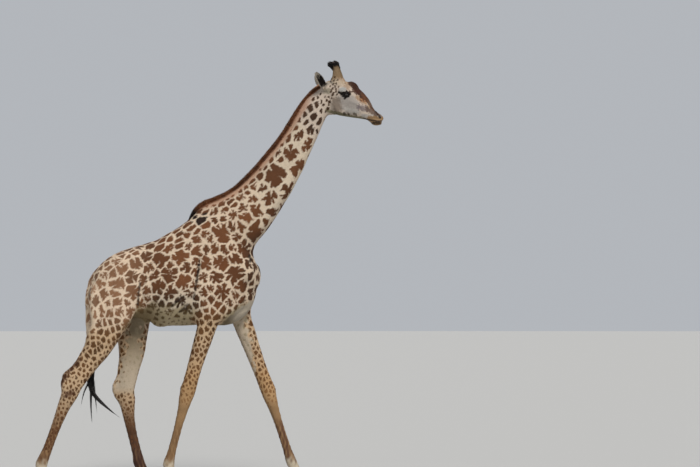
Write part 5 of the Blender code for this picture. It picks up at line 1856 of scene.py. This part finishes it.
def make_tassel():
    """Long black hairs that sweep forward from the tail's end, with a few that hang straight."""
    hair = settings("hair")
    rows = smooth_rows(TASSEL_ROWS, 6)
    path = np.array([tuple(at(*row[:3])) + (row[3],) for row in rows])
    core = remeshed(node_shell("tail_tassel"), TASSEL_GRAIN)
    eased(core, 0.5, 8)
    points, normals = points_of(core), normals_of(core)
    strands = 0.002 * waves(points * np.array((1, 1, 0.15)), 0.010, 73)
    set_points(core, points - normals * (0.011 + strands)[:, None])
    give_colours(core, "hair", filled(hair.tassel, len(points)) * 0.7)
    finish = painted_finish("Tassel roots", 300.0, 0.002, 0.6, 0.8)
    keep_piece("tassel_core", core, finish, ("tail_tassel",))
    count, steps = hair.tassel_hairs, TASSEL_STEPS
    draw = np.random.default_rng(310)
    start = draw.uniform(0, 0.62, count) ** 1.2
    end = np.clip(start + draw.uniform(0.35, 0.75, count), 0, 1.0)
    t = start[:, None] + (end - start)[:, None] * np.linspace(0, 1, steps)
    middle = along_path(path, t)
    turn = draw.uniform(0, 2 * math.pi, count)
    reach = (0.3 + 0.8 * draw.random(count) ** 0.7)[:, None] * middle[..., 3]
    sway = 0.011 * np.sin(t * draw.uniform(4, 9, (count, 1)) + turn[:, None] * 3) * np.linspace(0, 1, steps)
    paths = middle[..., :3].copy()
    paths[..., 0] += np.cos(turn)[:, None] * (reach + sway) * 0.8
    paths[..., 1] += np.sin(turn)[:, None] * (reach + sway) * 0.8
    paths[..., 2] += np.sin(turn)[:, None] * (reach + sway) * 0.6
    groups = [paths]
    for number, spread, line in WISPS:
        line = np.array([tuple(at(*row)) for row in smooth_rows(line, 5)])
        first = draw.uniform(0, 0.35, number)
        last = first + draw.uniform(0.45, 0.65, number)
        t = first[:, None] + (last - first)[:, None] * np.linspace(0, 1, steps)
        middle = along_path(line, t)
        aside = draw.normal(0, spread, (number, 3)) * 0.7
        groups.append(middle + aside[:, None] * np.linspace(1, 0.35, steps)[None, :, None])
    paths = np.concatenate(groups)
    count = len(paths)
    radii = TASSEL_HAIR * np.linspace(1, 0.12, steps)[None] * draw.uniform(0.7, 1.3, (count, 1))
    colour = np.array(hair.tassel) * draw.uniform(0.6, 1.7, (count, 1))
    places = np.stack([draw.uniform(0.1, 0.9, count), draw.uniform(0.1, 0.9, count)], 1)
    made = strand_mesh("tassel", paths, radii, colour, places)
    keep_piece("tassel", made, hair_finish("Tassel hair", 0.38, 0.1))


HORN_GRAIN = 0.0045
HORN_RING = 0.62
HORN_TUFTS = 4200


def horn_mesh(name, side):
    """A horn with a knob swept back, and how far along it each point lies."""
    mesh = remeshed(node_shell(f"horn_{name}"), HORN_GRAIN)
    eased(mesh, 0.5, 6)
    points, normals = points_of(mesh), normals_of(mesh)
    base, run = horn_axis(side)
    along = (points - base) @ run / (run @ run)
    back = points[:, 1] - base[1] - run[1] * along
    swept = 0.010 * ramp(along, 0.80, 0.92) * ramp(back, 0.0, 0.03)
    points[:, 1] -= 0.13 * back * ramp(along, 0.66, 0.46)
    points[:, 1] += 0.006 * ramp(along, 0.62, 0.80) + swept
    points[:, 2] -= 0.013 * ramp(along, 0.80, 1.0)
    knobs = waves(points, 0.022, 81) * 0.0016 * ramp(along, 0.7, 0.85) - 0.001
    set_points(mesh, points + normals * knobs[:, None])
    return mesh, along


def horn_colours(points, normals, along):
    """Tan up the shaft and black round the knob; where it is black, and where the hair is worn off."""
    colour = filled(tone(138, 114, 84), len(points))
    front = ramp(-normals[:, 1], -0.3, 0.7)
    colour = painted(colour, front * 0.45, (98, 78, 54))
    colour = painted(colour, ramp(along, 0.28, 0.02) * 0.7, (176, 158, 134))
    ring = HORN_RING + 0.15 * ramp(np.abs(normals[:, 0]), 0.35, 0.95)
    dark = ramp(along + 0.03 * front + 0.02 * waves(points, 0.02, 82) - ring, -0.07, 0.02)
    colour = mixed(colour, np.array([settings("head").horn_hair]), dark)
    bald = ramp(along, 0.90, 0.96) * ramp(waves(points, 0.03, 83), -0.9, 0.2)
    return painted(colour, bald * 0.8, (74, 58, 52)), dark, bald


def make_horns():
    """Two hair-covered horns, tan up the shaft, with a black ring round a worn knob."""
    finish = painted_finish("Horn skin", 240.0, 0.0016, 0.6, 0.85)
    hairs = []
    count = HORN_TUFTS
    draw = np.random.default_rng(320)
    for name, side in SIDES.items():
        base, run = horn_axis(side)
        mesh, along = horn_mesh(name, side)
        points, normals = points_of(mesh), normals_of(mesh)
        colour, dark, bald = horn_colours(points, normals, along)
        give_colours(mesh, "hair", colour)
        density = (1.0 + 0.8 * dark) * (1 - bald)
        corners, weights = strewn(mesh, density, count, 84 if side < 0 else 85)
        roots = carried(points, corners, weights)
        face = unit(carried(normals, corners, weights))
        lie = laid(unit(run + draw.normal(0, 0.02, (count, 3))), face)
        black = carried(dark, corners, weights)
        rise = np.clip((roots - base) @ run / (run @ run), 0, 1)
        rear = ramp(face[:, 1], 0.25, 0.75) * ramp(rise, 0.74, 0.88)
        lie = unit(lie + rear[:, None] * np.array((0, 1.2, 0.1)))
        level = ramp(face[:, 2], 0.4, 0.9) * black
        shade = carried(colour, corners, weights) * draw.uniform(0.8, 1.2, (count, 1))
        long = (0.010 + 0.005 * black + 0.012 * rear - 0.006 * level) * draw.uniform(0.7, 1.2, count)
        wide = np.full(count, HEAD_TUFT_WIDTH)
        lean = (0.12 + 0.22 * black) * draw.uniform(0.5, 1.5, count)
        turn = np.arctan2(face[:, 0], face[:, 1]) / (2 * math.pi) + 0.5
        places = np.stack([turn * 0.45 + (0.02 if side < 0 else 0.52), 0.05 + 0.9 * rise], 1)
        hairs.append(tuft_mesh("horn_hair", roots, face, lie, long, wide, lean, shade, places))
        keep_piece(f"horn_{name}_finished", mesh, finish, (f"horn_{name}",))
    keep_piece("horn_hair", joined(*hairs), hair_finish("Horn hair"))


EYE_RINGS, EYE_COLUMNS = 40, 56
CORNEA_SWELL, CORNEA_EDGE = 0.0016, 0.42
PUPIL_WIDE, PUPIL_HIGH = 0.36, 0.17
IRIS_RIM, IRIS_END = 0.68, 0.80
LASHES, LASH, LASH_STEPS = 170, 0.0007, 7


def eye_mesh(side):
    """An eyeball that bulges at the cornea, coloured by rings round its own axis."""
    iris = settings("head").iris
    out = Vector((side * 0.93, -0.36, 0.02)).normalized()
    level = Vector((0, 0, 1))
    level = (level - out * level.dot(out)).normalized()
    wide = out.cross(level)
    points, colours, faces = [], [], []
    for r in range(EYE_RINGS + 1):
        bend = math.pi * r / EYE_RINGS
        for c in range(EYE_COLUMNS):
            turn = 2 * math.pi * c / EYE_COLUMNS
            reach = BALL + CORNEA_SWELL * math.exp(-((bend / CORNEA_EDGE) ** 4))
            way = out * math.cos(bend) + (wide * math.cos(turn) + level * math.sin(turn)) * math.sin(bend)
            points.append(tuple(way * reach))
            aside, high = math.cos(turn) * math.sin(bend), math.sin(turn) * math.sin(bend)
            fibre = 0.85 + 0.25 * math.sin(turn * 23 + 3 * math.sin(turn * 7))
            colour = [value * fibre for value in iris]
            if math.hypot(aside / PUPIL_WIDE, high / PUPIL_HIGH) < 1.0:
                colour = [0.004, 0.004, 0.005]
            elif bend > IRIS_END:
                colour = list(tone(30, 20, 16))
            elif bend > IRIS_RIM:
                colour = list(tone(20, 14, 12))
            colours.append(colour)
    for r in range(EYE_RINGS):
        low, high = r * EYE_COLUMNS, (r + 1) * EYE_COLUMNS
        for c in range(EYE_COLUMNS):
            n = (c + 1) % EYE_COLUMNS
            faces.append((low + c, high + c, high + n, low + n))
    mesh = mesh_of("eye", np.array(points), np.array(faces))
    give_colours(mesh, "hair", np.array(colours))
    work = bmesh.new()
    work.from_mesh(mesh)
    bmesh.ops.remove_doubles(work, verts=work.verts, dist=1e-6)
    bmesh.ops.recalc_face_normals(work, faces=work.faces)
    work.to_mesh(mesh)
    work.free()
    mesh.transform(Matrix.Translation(eye_centre(side)))
    return mesh


def make_eyes():
    """Dark wet eyes with long lashes on the upper lids."""
    finish = painted_finish("Wet eye", 60.0, 0.0, 0.06, 0.10, coat=1.0)
    draw = np.random.default_rng(330)
    steps, count = LASH_STEPS, LASHES
    groups = []
    for name, side in SIDES.items():
        keep_piece(f"eye_{name}_finished", eye_mesh(side), finish, (f"eye_{name}",))
        centre, out, along, up = lid_axes(side)
        u = draw.uniform(-0.92, 0.92, count)
        lower = np.arange(count) % 4 == 3
        bend = 1 - (u / SLIT_HALF) ** 2
        w = np.where(lower, SLIT_DOWN, SLIT_UP) * bend + 0.06 * u + np.where(lower, -0.05, 0.07)
        flat_reach = np.sqrt(np.maximum(1 - u**2 * 0.9 - w**2, 0.04))
        way = out * flat_reach[:, None] + along * u[:, None] + up * w[:, None]
        root = centre + unit(way) * (BALL + 0.003)
        t = np.linspace(0, 1, steps)[None, :, None]
        long = np.where(lower, 0.010, 0.025)[:, None, None] * draw.uniform(0.75, 1.2, (count, 1, 1))
        droop = np.where(lower, -0.6, -0.75)[:, None, None]
        first = unit(out + along * u[:, None] * 0.6 + draw.normal(0, 0.06, (count, 3)))[:, None]
        path = root[:, None] + first * long * t + up * long * droop * t * (1.15 - 0.55 * t)
        groups.append(path)
    paths = np.concatenate(groups)
    radii = LASH * np.linspace(1, 0.15, steps)[None] * np.ones((len(paths), 1))
    colour = filled(tone(18, 14, 12), len(paths))
    places = np.stack([draw.uniform(0.1, 0.9, len(paths)), draw.uniform(0.1, 0.9, len(paths))], 1)
    lashes = strand_mesh("lashes", paths, radii, colour, places)
    keep_piece("lashes", lashes, hair_finish("Lashes", 0.45, 0.0))


HOOF_GRAIN, HOOF_RING = 0.0055, 0.0115


def make_hooves():
    """Eight claws with growth rings round their walls and worn, flat soles."""
    finish = painted_finish("Hoof horn", 130.0, 0.0012, 0.42, 0.68)
    hoof = settings("head").hoof
    for leg in FORELEGS + HINDLEGS:
        for place in ("inner", "outer"):
            name = f"hoof_{leg}_{place}"
            mesh = remeshed(node_shell(name), HOOF_GRAIN)
            sole = points_of(mesh)[:, 2].min()
            eased(mesh, 0.5, 3)
            points, normals = points_of(mesh), normals_of(mesh)
            low, high = points.min(0), points.max(0)
            slope = (points[:, 1] - low[1]) / (high[1] - low[1])
            level = points[:, 2] + 0.030 * slope
            wall = ramp(np.abs(normals[:, 2]), 0.85, 0.55)
            turns = level / HOOF_RING * 2 * math.pi
            rings = np.sin(turns + waves(points, 0.05, 91)) * 0.0009 * wall
            points = points + normals * (rings - 0.0006)[:, None]
            points[:, 2] = np.maximum(points[:, 2], sole)
            set_points(mesh, slid(points))
            colour = filled(hoof, len(points))
            colour = painted(colour, ramp(points[:, 2], 0.030, 0.004) * 0.6, (118, 104, 88))
            colour = painted(colour, ramp(level, 0.085, 0.12) * 0.5, (52, 42, 36))
            streak = waves(points * np.array((1, 1, 0.2)), 0.012, 92)
            give_colours(mesh, "hair", colour * (1 + 0.12 * streak + 0.08 * np.sin(turns))[:, None])
            keep_piece(f"{name}_finished", mesh, finish, (name,))


# ---------------------------------------------------------------- stage

AIM = (1.538, 2.817)
CAMERA_FORWARD = 0.982
LENS = 115.7
FLOOR_REACH = 260.0


def soft_sun(name, way, strength, spread, colour):
    """A distant soft light that comes from the way given."""
    data = bpy.data.lights.new(name, "SUN")
    data.energy = strength
    data.angle = math.radians(spread)
    data.color = colour
    lamp = linked(name, data)
    lamp.rotation_euler = Vector(way).to_track_quat("Z", "Y").to_euler()


def make_stage():
    stage = settings("stage")
    scene = bpy.context.scene
    work = bmesh.new()
    bmesh.ops.create_circle(work, cap_ends=True, segments=96, radius=FLOOR_REACH)
    floor = linked("floor", mesh_from(work))
    material, tree, shader = blank("Studio floor")
    feed(tree, shader, {"Base Color": (*stage.floor, 1.0), "Roughness": 0.85})
    floor.data.materials.append(material)
    world = bpy.data.worlds.new("Studio")
    world.use_nodes = True
    tree = world.node_tree
    feed(tree, tree.nodes["Background"], {"Color": (0.90, 0.94, 1.0, 1.0), "Strength": 0.50})
    scene.world = world
    soft_sun("Key light", (-0.80, -0.34, 0.86), 2.3, 20, (1.0, 0.965, 0.91))
    soft_sun("Far light", (0.70, 0.55, 0.90), 0.45, 40, (0.95, 0.97, 1.0))
    scene.view_settings.view_transform = "Standard"
    data = bpy.data.cameras.new("Camera")
    data.lens = LENS
    data.sensor_width = 36.0
    data.clip_end = 1000.0
    camera = linked("Camera", data)
    camera.location = at(CAMERA_FORWARD, stage.camera_height, -stage.camera_distance)
    camera.rotation_euler = (at(*AIM) - camera.location).to_track_quat("-Z", "Y").to_euler()
    scene.camera = camera


# ---------------------------------------------------------------- add-on


class GIRAFFE_OT_skin(bpy.types.Operator):
    """Builds the skin, with its folds, face and markings"""

    bl_idname = "giraffe.make_skin"
    bl_label = "Skin"

    def execute(self, context):
        make_skin()
        return {"FINISHED"}


class GIRAFFE_OT_coat(bpy.types.Operator):
    """Covers the skin with short tufts of hair"""

    bl_idname = "giraffe.make_coat"
    bl_label = "Coat"

    def execute(self, context):
        make_coat()
        return {"FINISHED"}


class GIRAFFE_OT_mane(bpy.types.Operator):
    """Builds the upright mane"""

    bl_idname = "giraffe.make_mane"
    bl_label = "Mane"

    def execute(self, context):
        make_mane()
        return {"FINISHED"}


class GIRAFFE_OT_tassel(bpy.types.Operator):
    """Builds the tail's tassel"""

    bl_idname = "giraffe.make_tassel"
    bl_label = "Tassel"

    def execute(self, context):
        make_tassel()
        return {"FINISHED"}


class GIRAFFE_OT_horns(bpy.types.Operator):
    """Builds the two horns and their hair"""

    bl_idname = "giraffe.make_horns"
    bl_label = "Horns"

    def execute(self, context):
        make_horns()
        return {"FINISHED"}


class GIRAFFE_OT_eyes(bpy.types.Operator):
    """Builds the eyes and their lashes"""

    bl_idname = "giraffe.make_eyes"
    bl_label = "Eyes"

    def execute(self, context):
        make_eyes()
        return {"FINISHED"}


class GIRAFFE_OT_hooves(bpy.types.Operator):
    """Builds the eight claws"""

    bl_idname = "giraffe.make_hooves"
    bl_label = "Hooves"

    def execute(self, context):
        make_hooves()
        return {"FINISHED"}


class GIRAFFE_OT_stage(bpy.types.Operator):
    """Sets up the floor, the lights and the camera"""

    bl_idname = "giraffe.make_stage"
    bl_label = "Stage"

    def execute(self, context):
        make_stage()
        return {"FINISHED"}


OPERATORS = (
    GIRAFFE_OT_skin,
    GIRAFFE_OT_coat,
    GIRAFFE_OT_mane,
    GIRAFFE_OT_tassel,
    GIRAFFE_OT_horns,
    GIRAFFE_OT_eyes,
    GIRAFFE_OT_hooves,
    GIRAFFE_OT_stage,
)
GROUPS = {
    "skin": GiraffeSkinSettings,
    "coat": GiraffeCoatSettings,
    "hair": GiraffeHairSettings,
    "head": GiraffeHeadSettings,
    "stage": GiraffeStageSettings,
}


class GIRAFFE_PT_panel(bpy.types.Panel):
    """Lists the giraffe's pieces and their settings"""

    bl_idname = "GIRAFFE_PT_panel"
    bl_label = "Giraffe"
    bl_space_type = "VIEW_3D"
    bl_region_type = "UI"
    bl_category = "Giraffe"

    def draw(self, context):
        for name, group in GROUPS.items():
            box = self.layout.box()
            box.label(text=name.capitalize())
            for prop in group.__annotations__:
                box.prop(getattr(context.scene, "giraffe_" + name), prop)
        for operator in OPERATORS:
            self.layout.operator(operator.bl_idname)


def register():
    for group in GROUPS.values():
        bpy.utils.register_class(group)
    for name, group in GROUPS.items():
        setattr(bpy.types.Scene, "giraffe_" + name, bpy.props.PointerProperty(type=group))
    for operator in OPERATORS:
        bpy.utils.register_class(operator)
    bpy.utils.register_class(GIRAFFE_PT_panel)


def unregister():
    bpy.utils.unregister_class(GIRAFFE_PT_panel)
    for operator in reversed(OPERATORS):
        bpy.utils.unregister_class(operator)
    for name, group in GROUPS.items():
        delattr(bpy.types.Scene, "giraffe_" + name)
        bpy.utils.unregister_class(group)


def main():
    register()
    bpy.ops.giraffe.make_skin()
    bpy.ops.giraffe.make_coat()
    bpy.ops.giraffe.make_mane()
    bpy.ops.giraffe.make_tassel()
    bpy.ops.giraffe.make_horns()
    bpy.ops.giraffe.make_eyes()
    bpy.ops.giraffe.make_hooves()
    bpy.ops.giraffe.make_stage()


if __name__ == "__main__":
    main()
